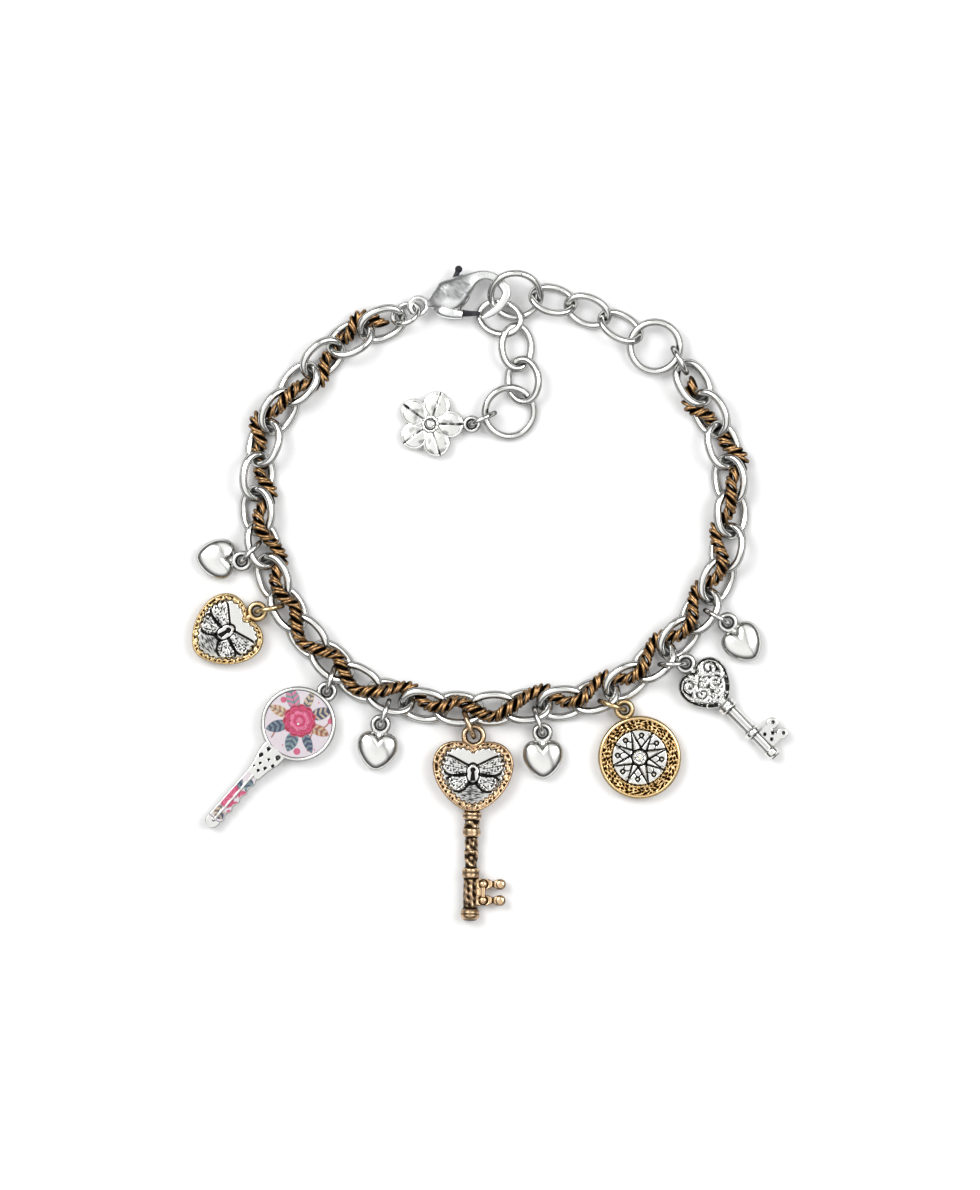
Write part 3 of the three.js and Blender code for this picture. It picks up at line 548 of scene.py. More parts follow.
stops = spaced(path, FINE_PITCH)
headings = np.gradient(stops, axis=0)
casting = Casting()
for k, (stop, heading) in enumerate(zip(stops, headings)):
    ahead = unit(heading)
    side = unit(np.cross(UP, ahead))
    lean = FINE_LEAN if k % 2 else -FINE_LEAN
    over = np.cross(ahead, side) * math.cos(lean) + side * math.sin(lean)
    slanted = unit(np.cross(over, ahead) + FINE_SLANT * ahead)
    link = {"centre": stop, "along": slanted, "across": over, "long": FINE_HALF_LENGTH,
            "wide": FINE_HALF_WIDTH}
    bend(casting, link, FINE_WIRE, steps=20, sides=8)
    off = casting.points[-1] - stop
    reach = np.linalg.norm(off - np.outer(off @ ahead, ahead), axis=1)
    # darker nearer the cord's middle: tarnish and painted shade between the links
    deep_tarnish_and_shade = np.clip(1.0 - (reach - BRIGHT_FROM) / BRIGHT_OVER, 0.05, 1)
    casting.patina[-1] = np.maximum(casting.patina[-1], deep_tarnish_and_shade)
fine = np.concatenate(casting.points)
fine[:, 2] = np.maximum(fine[:, 2], TABLE_ROOM)
casting.points = [fine]
casting.make("fine_chain_links", "fine_chain", [ROPE_BRASS], sharp=None)
print("fine links:", len(stops))

# %% [markdown]
# ## Relief tools
# A charm's relief is a height for each point of its face. Shapes are drawn by their distance: how
# far a point lies inside an outline or from a line. Where the relief is lower than its surroundings
# the tarnish stays, so the darkness is the difference between the blurred and the sharp height.

# %% Distances
def inside(x, y, outline):
    """Distance from the edge of an outline, above zero inside it."""
    a = outline
    b = np.roll(outline, -1, axis=0)
    distance = from_line(x, y, np.vstack([outline, outline[:1]]))
    px, py = x[..., None], y[..., None]
    dx, dy = b[:, 0] - a[:, 0], b[:, 1] - a[:, 1]
    dy_safe = np.where(dy == 0, 1e-9, dy)
    crossing = ((a[:, 1] > py) != (b[:, 1] > py)) & (px < a[:, 0] + (py - a[:, 1]) * dx / dy_safe)
    return np.where(crossing.sum(-1) % 2 == 1, distance, -distance)


def from_line(x, y, line):
    """Distance from an open line of points."""
    a, b = line[:-1], line[1:]
    px, py = x[..., None], y[..., None]
    dx, dy = b[:, 0] - a[:, 0], b[:, 1] - a[:, 1]
    t = np.clip(((px - a[:, 0]) * dx + (py - a[:, 1]) * dy) / (dx * dx + dy * dy), 0, 1)
    return np.hypot(px - a[:, 0] - t * dx, py - a[:, 1] - t * dy).min(-1)


def step(value, width):
    """From 0 to 1 as value goes from 0 to width."""
    t = np.clip(value / width, 0, 1)
    return t * t * (3 - 2 * t)


def dome(distance, radius):
    return np.sqrt(np.clip(1 - (distance / radius) ** 2, 0, 1))


def groove(distance, width):
    return np.exp(-(distance / width) ** 2)


def blurred(height, passes):
    for _ in range(passes):
        height = (2 * height + np.roll(height, 1, 1) + np.roll(height, -1, 1)) / 4
        before, after = np.vstack([height[:1], height[:-1]]), np.vstack([height[1:], height[-1:]])
        height = (2 * height + before + after) / 4
    return height


def mottle(x, y, pace):
    """An uneven cloud between 0 and 1, made of waves that cross and bend each other."""
    slow = np.sin(x * pace + 1.7 * np.sin(y * pace * 0.7))
    slow = slow * np.sin(y * pace * 1.1 + 1.3 * np.sin(x * pace * 0.6 + 1))
    quick = np.sin((x + y) * pace * 1.7 + 2 * slow) * np.sin((x - 0.7 * y) * pace * 1.5 + 1)
    return np.clip(0.5 + 0.35 * slow + 0.3 * quick, 0, 1)


def hollows(height, passes=18, gain=7.0, base=0.08):
    """Darkness from how far each point lies below its surroundings."""
    return np.clip(base + gain * (blurred(height, passes) - height), 0, 1)


# %% [markdown]
# ## Plates, turned stems and bars
# The charms are put together from four forms: a plate with a carved face, a stem turned on a lathe,
# a flat carved bar and a wire loop. Each is a row of closed outlines, so the collector can take it.

# %% Plate with a carved face
EDGE = 0.07


def carved_plate(casting, x, y, share, face, back, kinds=0, paint=(1, 1, 1), patina=None, edge=EDGE,
                 soft=0.3):
    """Rows of outlines from the middle (share 0) to the rim (share 1); face is their height."""
    roll = np.clip((share - (1 - edge)) / edge, 0, 1)
    drop = soft * (1 - np.sqrt(1 - roll ** 2))
    top = np.stack([x, y, face - drop], -1)
    under = np.stack([x, y, np.full_like(x, back) + drop], -1)[::-5]
    dark = hollows(face) if patina is None else patina
    # a dark outline along the outermost rim: painted shade where the rim rolls away from above
    dark = np.maximum(dark, 0.6 * step(share - 0.97, 0.03))
    rows = np.concatenate([top, under])
    whole = np.concatenate([dark, np.full((len(under), x.shape[1]), 0.22)])
    kind_rows = np.broadcast_to(kinds, x.shape)
    kind_rows = np.concatenate([kind_rows[:-1], np.zeros((len(under), x.shape[1]), int)])
    coats = np.concatenate([np.broadcast_to(paint, (*x.shape, 3)), np.ones((*under.shape[:2], 3))])
    casting.add(rows, patina=whole, kinds=kind_rows, paint=coats)


def disc_grid(cx, cy, radius, rows, count, start=0.03):
    share = np.linspace(start, 1, rows)[:, None]
    angle = np.linspace(0, 2 * math.pi, count, endpoint=False)[None, :]
    share = np.broadcast_to(share, (rows, count))
    x = cx + radius * share * np.cos(angle)
    y = cy + radius * share * np.sin(angle)
    return x, y, share, np.broadcast_to(angle, (rows, count))


LOBE_TOP = 10.7
LOBE_FULL = 23.6


def heart_middle(start, length):
    return start + length * LOBE_TOP / LOBE_FULL


def heart_grid(start, length, width, rows, count):
    """Outlines of a heart whose notch looks to the loop, and how far round each point is."""
    t = np.linspace(0, 2 * math.pi, 2001)

    def outline(t, share):
        u = 13 * np.cos(t) - 2.5 * np.cos(2 * t) - 2.4 * np.cos(3 * t) + 0.2 * np.cos(4 * t)
        across = 0.93 * np.sin(t) ** 3 + 0.07 * np.sin(t)
        return start + length * (LOBE_TOP - u * share) / LOBE_FULL, width * share * across / 2

    fine = np.stack(outline(t, 1.0), -1)
    gone = np.concatenate([[0], np.cumsum(np.linalg.norm(np.diff(fine, axis=0), axis=1))])
    arc = np.linspace(0, 1, count, endpoint=False)
    even = np.interp(arc * gone[-1], gone, t)
    share = np.broadcast_to(np.linspace(0.03, 1, rows)[:, None], (rows, count))
    x, y = outline(even[None, :], share)
    return x, y, share, np.broadcast_to(arc, (rows, count)), gone[-1]


# %% Turned stem, carved bar and loop
def turned(casting, profile, sides=32, carve=None, per_mm=14, gain=9.0, base=0.1):
    """A stem along X from pairs of x and radius, with softened edges."""
    x = np.array([p[0] for p in profile], float)
    r = np.array([p[1] for p in profile], float)
    places = np.linspace(x[0], x[-1], max(int((x[-1] - x[0]) * per_mm), 12))
    radius = np.interp(places, x, r)
    angle = np.linspace(0, 2 * math.pi, sides, endpoint=False)
    grid = np.repeat(radius[:, None], sides, axis=1)
    if carve is not None:
        grid = grid + carve(places[:, None], angle[None, :])
    grid = blurred(grid, 1)
    ends = dome(np.array([0.95, 0.75, 0.4]), 1.0)
    rows = np.stack([np.repeat(places[:, None], sides, 1), grid * np.cos(angle), grid * np.sin(angle)], -1)
    first, last = rows[0].copy(), rows[-1].copy()
    caps_a = [first * [1, q, q] for q in 1 - ends[::-1] * 0.2]
    caps_b = [last * [1, q, q] for q in 1 - ends * 0.2]
    dark = hollows(grid, 14, gain, base)
    rows = np.concatenate([caps_a, rows, caps_b])
    cap_dark = np.full((3, sides), base)
    dark = np.concatenate([cap_dark, dark, cap_dark])
    casting.add(rows, patina=dark)


def carved_bar(casting, x, left, right, face, back, across=30, kinds=None, paint=None, swap=False,
               soft=0.18, gain=7.0, base=0.08):
    """A flat bar along X between two edges. face(x, y) is its upper height. Swap lays it along Y."""
    share = np.linspace(0, 1, across)[None, :]
    xs = np.repeat(x[:, None], across, 1)
    low_edge, high_edge = left[:, None], right[:, None]
    ys = low_edge + (high_edge - low_edge) * share
    height = face(xs, ys)
    near = np.minimum(ys - low_edge, high_edge - ys)
    drop = soft * (1 - np.sqrt(1 - np.clip(1 - near / soft, 0, 1) ** 2))
    top = np.stack([xs, ys, height - drop], -1)
    pick = np.linspace(across - 1, 0, 6).astype(int)
    under = np.stack([xs[:, pick], ys[:, pick], back + drop[:, pick]], -1)
    # the edges of the bar are darkened: painted shade where they roll away from above
    dark = np.maximum(hollows(height, 12, gain, base), 0.65 * step(0.12 - near, 0.08))
    dark = np.concatenate([dark, np.full((len(x), 6), 0.25)], 1)
    kind = np.zeros((len(x) - 1, across + 6), int)
    coat = np.ones((len(x), across + 6, 3))
    if kinds is not None:
        kind[:, :across - 1] = kinds(xs, ys)[:-1, :-1]
        coat[:, :across] = paint(xs, ys)
    rows = np.concatenate([top, under], 1)
    if swap:
        rows = rows[..., [1, 0, 2]]
    casting.add(rows, patina=dark, kinds=kind, paint=coat)


def flat_loop(casting, radius=1.0, wire=0.8):
    # strong painted shade inside the loop, where the jump ring and its shadow lie, and along its sides
    bend(casting, flat_ring(radius), wire, steps=36, sides=12, darkening=0.9, side_shade=0.75)


# %% [markdown]
# ## Hanging a charm
# Each charm hangs by its own loop from a jump ring, and lies on the table with its tip down. Its
# shape is drawn with the loop's middle at zero and its length along X. From the wire that holds the
# jump ring, the loop lies a short reach away; then the charm points where the photograph shows it
# and leans down until its lowest edge touches the table.

# %% Place a charm
LOOP_HEIGHT = 1.38
REST = 0.03
REACH = (1.6, 2.05)
TAG_ANGLE = math.radians(193)

# name: link, angle on it, loop, aim, depth below its middle plane, reach of its tip
HANGING = {
    "small_heart_1": (24, -12, (-32.67, 4.93), (-36.27, 4.87), 1.171, 6.1),
    "butterfly_heart": (22, 22, (-31.08, -2.19), (-39.36, -7.67), 1.0, 9.9),
    "enamel_key": (20, -28, (-21.76, -12.88), (-37.6, -30.8), 0.9, 23.9),
    "small_heart_2": (18, 0, (-14.67, -17.47), (-15.4, -23.27), 1.171, 6.1),
    "heart_key": (16, -28, (-2.01, -19.29), (-2.68, -43.07), 1.26, 24.65),
    "small_heart_3": (14, -25, (7.0, -18.4), (7.13, -24.13), 1.171, 6.1),
    "compass_medallion": (12, -30, (18.93, -15.6), (20.13, -22.2), 0.75, 12.23),
    "silver_key": (10, -28, (26.44, -9.12), (37.84, -21.24), 1.26, 17.3),
    "small_heart_4": (8, -10, (32.24, -3.97), (35.47, -8.53), 1.171, 6.1),
    "flower_tag": (None, None, (-2.93, 22.53), (-8.44, 22.8), 0.6, 9.49),
}


def placer(name):
    """A function that moves a charm's points from its own drawing to its place."""
    link, angle, loop, aim, depth, tip = HANGING[name]
    if link is None:
        tail = EXTENDER_TAIL[-1]["middle"]
        wire = np.array([tail[0] + RING_RADIUS * math.cos(TAG_ANGLE),
                         tail[1] + RING_RADIUS * math.sin(TAG_ANGLE), 0]) + moved
    else:
        wire = wire_middle(chain[link - 1], math.radians(90 - angle))
    to_loop = np.array(loop) + moved[:2] - wire[:2]
    reach = min(max(np.hypot(*to_loop), REACH[0]), REACH[1])
    spot = wire[:2] + unit(to_loop) * reach
    to_aim = np.array(aim) + moved[:2] - spot
    way = math.atan2(to_aim[1], to_aim[0])
    lean = math.asin((LOOP_HEIGHT - depth - REST) / tip)
    turn = np.array([[math.cos(way), -math.sin(way), 0], [math.sin(way), math.cos(way), 0], [0, 0, 1]])
    middle = np.array([spot[0], spot[1], LOOP_HEIGHT + moved[2]])
    return lambda points: points @ (turn @ tilted(lean)).T + middle


# %% [markdown]
# ## Four small puffed hearts
# They are hollow-looking hearts, domed on both faces and polished all over. A soft crease runs from
# the notch to the middle. The dome's height falls from the middle to the rim as on a ball.

# %% Small hearts
HEART_DEPTH = 1.22


def small_heart(casting):
    flat_loop(casting)
    turned(casting, [(1.1, 0.42), (2.6, 0.6)], sides=16)
    start, length, width = 1.0, 5.1, 5.4
    x, y, even, _, _ = heart_grid(start, length, width, 40, 84)
    share = np.sin(even * math.pi / 2)
    middle = heart_middle(start, length)
    x = middle + (x - middle) / even * share
    y = y / even * share
    height = HEART_DEPTH * np.sqrt(np.clip(1 - share ** 2, 0, 1)) ** 0.8
    crease = 0.16 * np.exp(-(y / 0.5) ** 2) * step(3.4 - x, 1.6)
    top = np.stack([x, y, height - crease * share], -1)
    under = np.stack([x, y, -height * 0.95], -1)[::-2]
    # the crease and the rim are darkened with painted shade; the heart itself is polished all over
    dark = np.clip(0.04 + 0.7 * crease + 0.5 * step(share - 0.9, 0.1), 0, 1)
    rows = np.concatenate([top, under[1:]])
    casting.add(rows, patina=np.concatenate([dark, dark[::-2][1:]]))


for name in ("small_heart_1", "small_heart_2", "small_heart_3", "small_heart_4"):
    casting = Casting()
    small_heart(casting)
    casting.make(f"{name}_casting", name, [SILVER], place=placer(name), sharp=None)
print("small hearts made")

# %% [markdown]
# ## A butterfly in relief
# Two of the hearts carry a butterfly with a keyhole in its middle. The wings of one side are drawn
# and mirrored: each wing is raised, a black line runs round it, and veins fan out from its root. A
# little shield between the wings holds the keyhole, the deepest and blackest place.

# %% Butterfly relief
UPPER_WING = rounded(np.array([
    (-0.5, 0.25), (-0.95, 1.0), (-1.45, 2.0), (-1.6, 2.7), (-1.15, 3.1), (-0.4, 2.95), (0.2, 2.45),
    (0.35, 1.6), (0.3, 0.8), (0.1, 0.3)]), 5, closed=True)
LOWER_WING = rounded(np.array([
    (0.15, 0.3), (0.25, 1.2), (0.35, 2.0), (0.85, 2.5), (1.45, 2.3), (1.85, 1.65), (1.75, 0.95),
    (1.3, 0.5), (0.8, 0.25)]), 5, closed=True)


def butterfly(x, y, middle, size):
    """Height of the butterfly over its ground, and its black lines. Its head looks to the loop."""
    u, v = (x - middle) / size, np.abs(y) / size
    upper, lower = inside(u, v, UPPER_WING), inside(u, v, LOWER_WING)
    height = 0.3 * np.maximum(step(upper, 0.16), 0.85 * step(lower, 0.16))
    wings = np.maximum(upper, lower)
    ink = np.maximum(groove(upper + 0.03, 0.09), groove(lower + 0.03, 0.09))
    ink += 0.8 * step(mottle(u + 3, v, 9.0) - 0.55, 0.15) * (wings > 0.12)
    height -= 0.16 * np.maximum(groove(upper, 0.07), groove(lower, 0.07))
    for root, edge, spokes in (((-0.2, 0.2), upper, 9), ((0.4, 0.2), lower, 8)):
        angle = np.arctan2(v - root[1], u - root[0])
        radius = np.hypot(u - root[0], v - root[1])
        veins = groove(np.sin(angle * spokes) * radius, 0.17) * step(edge - 0.12, 0.1)
        veins *= step(radius - 0.5, 0.4)
        spots = groove(edge - 0.42, 0.1) * groove(np.sin(angle * spokes * 1.5), 0.5)
        height -= 0.13 * veins + 0.12 * spots * step(radius - 1.0, 0.3)
        ink += 0.6 * veins + 0.8 * spots * step(radius - 1.0, 0.3)
    shield = 1 - np.hypot((u - 0.15) / 1.0, y / size / 0.62)
    height = np.where(shield > 0, np.maximum(height, 0.36 * step(shield, 0.3)), height)
    height -= 0.14 * groove(shield, 0.09)
    ink = np.where(shield > 0, 0.0, ink) + 0.9 * groove(shield, 0.1)
    hole = 0.25 - np.hypot(u + 0.2, y / size)
    flare = np.minimum(0.11 + (u + 0.1) * 0.16 - np.abs(y / size), np.minimum(u + 0.2, 0.78 - u))
    opening = step(np.maximum(hole, flare) + 0.03, 0.08)
    streaks = 0.9 * mottle(y * 0.9 + u * 3.5, u * 3.0 - y * 0.6, 3.2) * step(u + 0.4, 1.2)
    ink += streaks * (wings < 0)
    return height - 0.6 * opening, ink + opening


# %% Border of beads and scallops
def beaded_border(x, y, share, arc, around, middle, count):
    """A border of small leaves, beads and dark pits along the rim of a heart."""
    from_middle = np.hypot(x - middle, y) / np.maximum(share, 0.05)
    uneven = 0.3 * np.sin(arc * 61) + 0.2 * np.sin(arc * 143 + 1)

    def spot(at, shift):
        along = ((arc * count + shift + uneven) % 1 - 0.5) * around * at / count
        return np.hypot((share - at) * from_middle, along)

    beads = 0.12 * dome(spot(0.88, 0.0), 0.32) + 0.10 * dome(spot(0.83, 0.5), 0.24)
    pits = 0.16 * groove(spot(0.905, 0.5), 0.11) + 0.24 * groove(spot(0.835, 0.0), 0.11)
    return beads - pits - 0.05 * mottle(x, y, 6.0)


def heart_charm(casting, start, length, width, face, rim, size, beads, field_share=0.79):
    """A heart with a rim, a beaded border and a silver field with a butterfly."""
    x, y, share, arc, around = heart_grid(start, length, width, 92, 300)
    middle = heart_middle(start, length)
    border = field_share + 0.025 * np.cos(arc * beads * 2 * math.pi)
    field = face - 0.12 + 0.2 * np.clip(1 - ((x - middle) ** 2 + y ** 2) / (0.45 * width) ** 2, 0, 1)
    relief, ink = butterfly(x, y, middle - 0.15, size)
    within = step(border - 0.02 - share, 0.05)
    height = field + relief * within
    raised = face + 0.02 + beaded_border(x, y, share, arc, around, middle, beads)
    height = np.where(share > border, raised, height)
    height += (rim - face) * step(share - 0.93, 0.03) - 0.2 * groove((share - border) * middle, 0.08)
    height = np.minimum(height, rim + 0.12)
    darkening = 0.35 * mottle(x + 1, y - 2, 2.1) * (share > border) * step(0.95 - share, 0.05)
    dark = np.clip(hollows(height, 14, 6.0, 0.1) + darkening + ink * within, 0, 1)
    carved_plate(casting, x, y, share, height, -face, kinds=np.where(share < border, 1, 0), patina=dark)


# %% [markdown]
# ## The butterfly heart
# This one hangs alone: a brass heart with a beaded border round a silver field.

# %% Butterfly heart
casting = Casting()
flat_loop(casting)
turned(casting, [(1.1, 0.45), (3.2, 0.6)], sides=16)
heart_charm(casting, 0.9, 9.0, 9.6, 0.7, 0.92, 1.42, 30, 0.83)
casting.make("butterfly_heart_casting", "butterfly_heart", [BRASS, SILVER],
             place=placer("butterfly_heart"), sharp=None)
print("butterfly heart made")

# %% [markdown]
# ## The large heart key
# Its bow is the same kind of heart. The stem was turned and then cast with vines wound round it, so
# the lathe profile gets a wavy carving. Two prongs with rounded ends stand out to one side.

# %% Heart key
STEM = [(9.3, 0.9), (10.12, 1.0), (10.2, 1.26), (11.05, 1.26), (11.15, 0.98), (12.25, 0.98),
        (12.4, 1.19), (13.3, 1.19), (13.45, 0.8), (15.2, 0.86), (15.35, 1.0), (15.65, 1.0), (15.8, 0.84),
        (17.55, 0.79), (17.7, 1.15), (18.8, 1.15), (18.95, 0.93), (22.95, 0.93), (23.1, 1.12),
        (23.5, 1.28), (24.0, 1.26), (24.35, 1.08), (24.6, 0.7)]


def vines(x, angle):
    """Leaves and windings cast round the stem."""
    lumps = np.sin(3 * angle + 2.7 * x) * np.sin(5 * angle - 4.1 * x + 1) + np.sin(4 * angle + 6.3 * x)
    winding = 0.07 * np.sin(2 * angle + 3.2 * x) + 0.045 * lumps
    leaves = 0.12 * np.sin(3 * angle + 2.0) * np.sin(5.5 * (x - 11.2))
    rings = -0.06 * groove(x - 10.6, 0.09) - 0.05 * groove(x - 18.25, 0.09) - 0.06 * groove(x - 23.7, 0.1)
    fluting = 0.04 * np.sin(7 * angle + 0.8 * x) + 0.03 * lumps
    winding = winding * step(x - 13.5, 0.2) * step(17.5 - x, 0.2)
    leaves = leaves * step(x - 11.2, 0.1) * step(12.3 - x, 0.1)
    fluting = fluting * step(x - 19.1, 0.2) * step(22.8 - x, 0.2)
    return winding + leaves + rings + fluting


PRONG_HALF = 0.62
PRONG_STARTS = (19.05, 21.2)


def prong_face(y, x):
    """Height of a prong, with a bead near its end and a stud near the stem."""
    u = (x - x.mean()) / PRONG_HALF
    bead = 0.22 * dome(np.hypot(y - 4.0, u * PRONG_HALF), 0.6)
    stud = 0.24 * dome(np.hypot(y - 1.7, u * PRONG_HALF), 0.48)
    ring = -0.2 * groove(np.hypot(y - 1.7, u * PRONG_HALF) - 0.58, 0.1) - 0.2 * groove(y - 3.0, 0.14)
    return 0.5 + bead + stud + ring


casting = Casting()
flat_loop(casting, 1.27, 0.8)
turned(casting, [(1.4, 0.5), (3.2, 0.65)], sides=16)
heart_charm(casting, 0.68, 9.4, 10.8, 0.8, 1.02, 1.4, 34)
turned(casting, STEM, sides=48, carve=vines, gain=8.0, base=0.6)
for start in PRONG_STARTS:
    y = np.linspace(0.5, 4.66, 56)
    end = np.sqrt(np.clip(1 - (np.clip(y - 4.0, 0, None) / 0.7) ** 2, 0.02, 1))
    half = (PRONG_HALF + 0.08 - 0.3 * groove(y - 3.0, 0.45)) * end
    centre = start + 0.65
    carved_bar(casting, y, centre - half, centre + half, prong_face, -0.55, swap=True, gain=9.0,
               base=0.2)
carved_bar(casting, np.linspace(19.5, 22.1, 30), np.full(30, 0.5), np.full(30, 2.0),
           lambda x, y: 0.42 - 0.14 * groove(y - 1.3, 0.2), -0.45)
casting.make("heart_key_casting", "heart_key", [ROSY, SILVER], place=placer("heart_key"),
             sharp=None)
print("heart key made:", casting.count, "points")

# %% [markdown]
# ## The compass medallion
# A round charm: a smooth rim, a broad border of crowded grains, and a silver disc with an
# eight-pointed star, eight small rings and a boss. The grains are a plain ornament, made from waves
# that cross each other round the border, so it reads as crowded little curls.

# %% Compass medallion
COMPASS_MIDDLE = 6.7
COMPASS_RADIUS = 5.53
FIELD_RADIUS = 3.72


def star_ray(x, y, turn, reach, half):
    """Height of one thin ray from the middle, highest along its middle line."""
    u = (x - COMPASS_MIDDLE) * math.cos(turn) + y * math.sin(turn)
    v = -(x - COMPASS_MIDDLE) * math.sin(turn) + y * math.cos(turn)
    wide = half * np.clip(1 - u / reach, 0, 1)
    return np.where(u > 0, wide - np.abs(v), -1.0)


def compass_face(x, y, r, angle):
    border = r > FIELD_RADIUS
    curls = np.sin(angle * 26 + 2.2 * np.sin(r * 5)) * np.sin(r * 7.5 + 1.7 * np.sin(angle * 13 + 1))
    curls += 0.8 * np.sin(angle * 37 + r * 6) * np.sin(r * 9 - angle * 12)
    grains = 0.64 + 0.22 * np.clip(1.4 * curls + 0.35, -0.9, 0.9)
    field = 0.70 + 0.03 * np.sin(angle * 8)
    quarter = math.pi / 2
    long_rays = np.max([star_ray(x, y, k * quarter, 3.75, 0.85) for k in range(4)], axis=0)
    short_rays = np.max([star_ray(x, y, (k + 0.5) * quarter, 3.3, 0.72) for k in range(4)], axis=0)
    ink = groove(short_rays + 0.03, 0.11) * (long_rays < 0.05)
    ink = np.maximum(ink, groove(long_rays + 0.03, 0.11))
    field = field - 0.15 * groove(short_rays, 0.09) + 0.1 * step(short_rays, 0.25)
    field = field - 0.17 * groove(long_rays, 0.09) + 0.2 * step(long_rays, 0.3)
    web = np.abs(r - (2.25 - 0.4 * np.cos(angle * 8)))
    between = np.maximum(long_rays, short_rays) < 0
    field -= 0.13 * groove(web, 0.08) * between
    ink = np.maximum(ink, 0.95 * groove(web, 0.1) * between)
    for k in range(8):
        turn = (k + 0.5) * math.pi / 4
        spot = np.hypot(x - COMPASS_MIDDLE - 2.95 * math.cos(turn), y - 2.95 * math.sin(turn))
        field += 0.12 * groove(spot, 0.12) - 0.17 * groove(spot - 0.27, 0.08)
        ink = np.maximum(ink, groove(spot - 0.3, 0.1))
    for k in range(4):
        turn = (k + 0.5) * math.pi / 2
        spot = np.hypot(x - COMPASS_MIDDLE - 3.3 * math.cos(turn), y - 3.3 * math.sin(turn))
        field += 0.1 * dome(spot, 0.26) - 0.1 * groove(spot - 0.32, 0.07)
    boss = 0.42 * dome(r, 1.0) ** 0.6 - 0.2 * groove(r - 1.05, 0.1) - 0.1 * groove(r - 0.62, 0.08)
    field = field + boss * (r < 1.35)
    ink = np.maximum(np.where(r < 0.95, 0.0, ink), groove(r - 1.05, 0.1)) * (r < FIELD_RADIUS)
    height = np.where(border, grains, field)
    height = height - 0.25 * groove(r - FIELD_RADIUS, 0.08) + 0.12 * groove(r - FIELD_RADIUS - 0.22, 0.12)
    return height + (1.0 - height) * step(r - 5.0, 0.12), ink


casting = Casting()
flat_loop(casting)
turned(casting, [(1.0, 0.4), (1.8, 0.6)], sides=16)
x, y, share, angle = disc_grid(COMPASS_MIDDLE, 0, COMPASS_RADIUS, 100, 340)
face, ink = compass_face(x, y, share * COMPASS_RADIUS, angle)
inner = share * COMPASS_RADIUS < FIELD_RADIUS - 0.04
carved_plate(casting, x, y, share, face, -0.75, kinds=np.where(inner, 1, 0),
             patina=np.clip(hollows(face, 16, 8.0, 0.08) + ink, 0, 1))
casting.make("compass_medallion_casting", "compass_medallion", [BRASS, SILVER],
             place=placer("compass_medallion"), sharp=None)
print("compass medallion made:", casting.count, "points")

# %% [markdown]
# ## The silver key
# The bow is a heart filled with scrolls. Each scroll is a line that winds inwards, raised along its
# length, over a blackened ground. The stem is faceted rather than round, so its radius is taken
# from a polygon. A small clover-like bit stands out near the end.

# %% Scrolls
def scroll(cx, cy, radius, turns, begin, way):
    """A line that winds from radius in to its middle."""
    share = np.linspace(0, 1, 40)
    angle = begin + way * turns * 2 * math.pi * share
    reach = radius * (1 - 0.86 * share)
    return np.stack([cx + reach * np.cos(angle), cy + reach * np.sin(angle)], -1)


SCROLLS = [
    scroll(2.55, 1.75, 1.15, 1.35, 2.6, 1), scroll(4.5, 1.2, 0.95, 1.3, 0.4, -1),
    scroll(3.5, 0.3, 0.62, 1.1, 3.6, 1), scroll(5.6, 0.55, 0.6, 1.1, 5.0, 1),
    rounded(np.array([(1.6, 0.9), (2.6, 0.55), (4.0, 2.3), (5.4, 1.75)]), 6),
    rounded(np.array([(6.6, 0.1), (5.9, 1.3), (4.8, 2.1)]), 6),
    rounded(np.array([(1.35, 2.2), (2.3, 3.1), (3.6, 2.95), (4.6, 2.35)]), 6),
    rounded(np.array([(2.2, 0.1), (3.0, 1.1), (3.7, 1.5)]), 6),
]


def scroll_face(x, y, share):
    v = np.abs(y)
    nearest = np.min([from_line(x, v, line) for line in SCROLLS], axis=0)
    ridge = 0.42 * dome(nearest, 0.4) ** 1.3
    ground = 0.52 + 0.12 * (1 - share ** 2) + 0.14 * step(mottle(x + 2, y, 3.4) - 0.6, 0.2)
    height = ground + ridge * step(0.93 - share, 0.05)
    return height + (0.98 - height) * step(share - 0.93, 0.03)


FACETS = 8


def facets(x, angle):
    """Takes a round stem down to flat sides between its collars."""
    sector = (angle + math.pi / FACETS) % (2 * math.pi / FACETS) - math.pi / FACETS
    flat = np.cos(math.pi / FACETS) / np.cos(sector) - 1
    plain = step(x - 8.5, 0.1) * step(12.4 - x, 0.1) + step(x - 13.2, 0.1) * step(16.0 - x, 0.1)
    return 0.85 * flat * plain - 0.09 * groove(x - 7.98, 0.08) - 0.04 * groove(x - 12.8, 0.07)


KEY_STEM = [(6.7, 0.85), (7.45, 0.9), (7.55, 1.26), (8.4, 1.26), (8.5, 0.9), (12.4, 0.9), (12.5, 1.15),
            (13.1, 1.15), (13.2, 0.84), (16.0, 0.84), (16.1, 0.96), (16.8, 0.96), (17.25, 0.55)]
BIT_HOLES = [(14.1, 1.0), (15.2, 1.2), (14.7, 1.9), (13.7, 2.9), (15.7, 2.9)]


def bit_face(x, y):
    height = np.full_like(x, 0.46)
    for hx, hy in BIT_HOLES:
        height -= 0.5 * step(0.25 - np.hypot(x - hx, y - hy), 0.1)
    return height


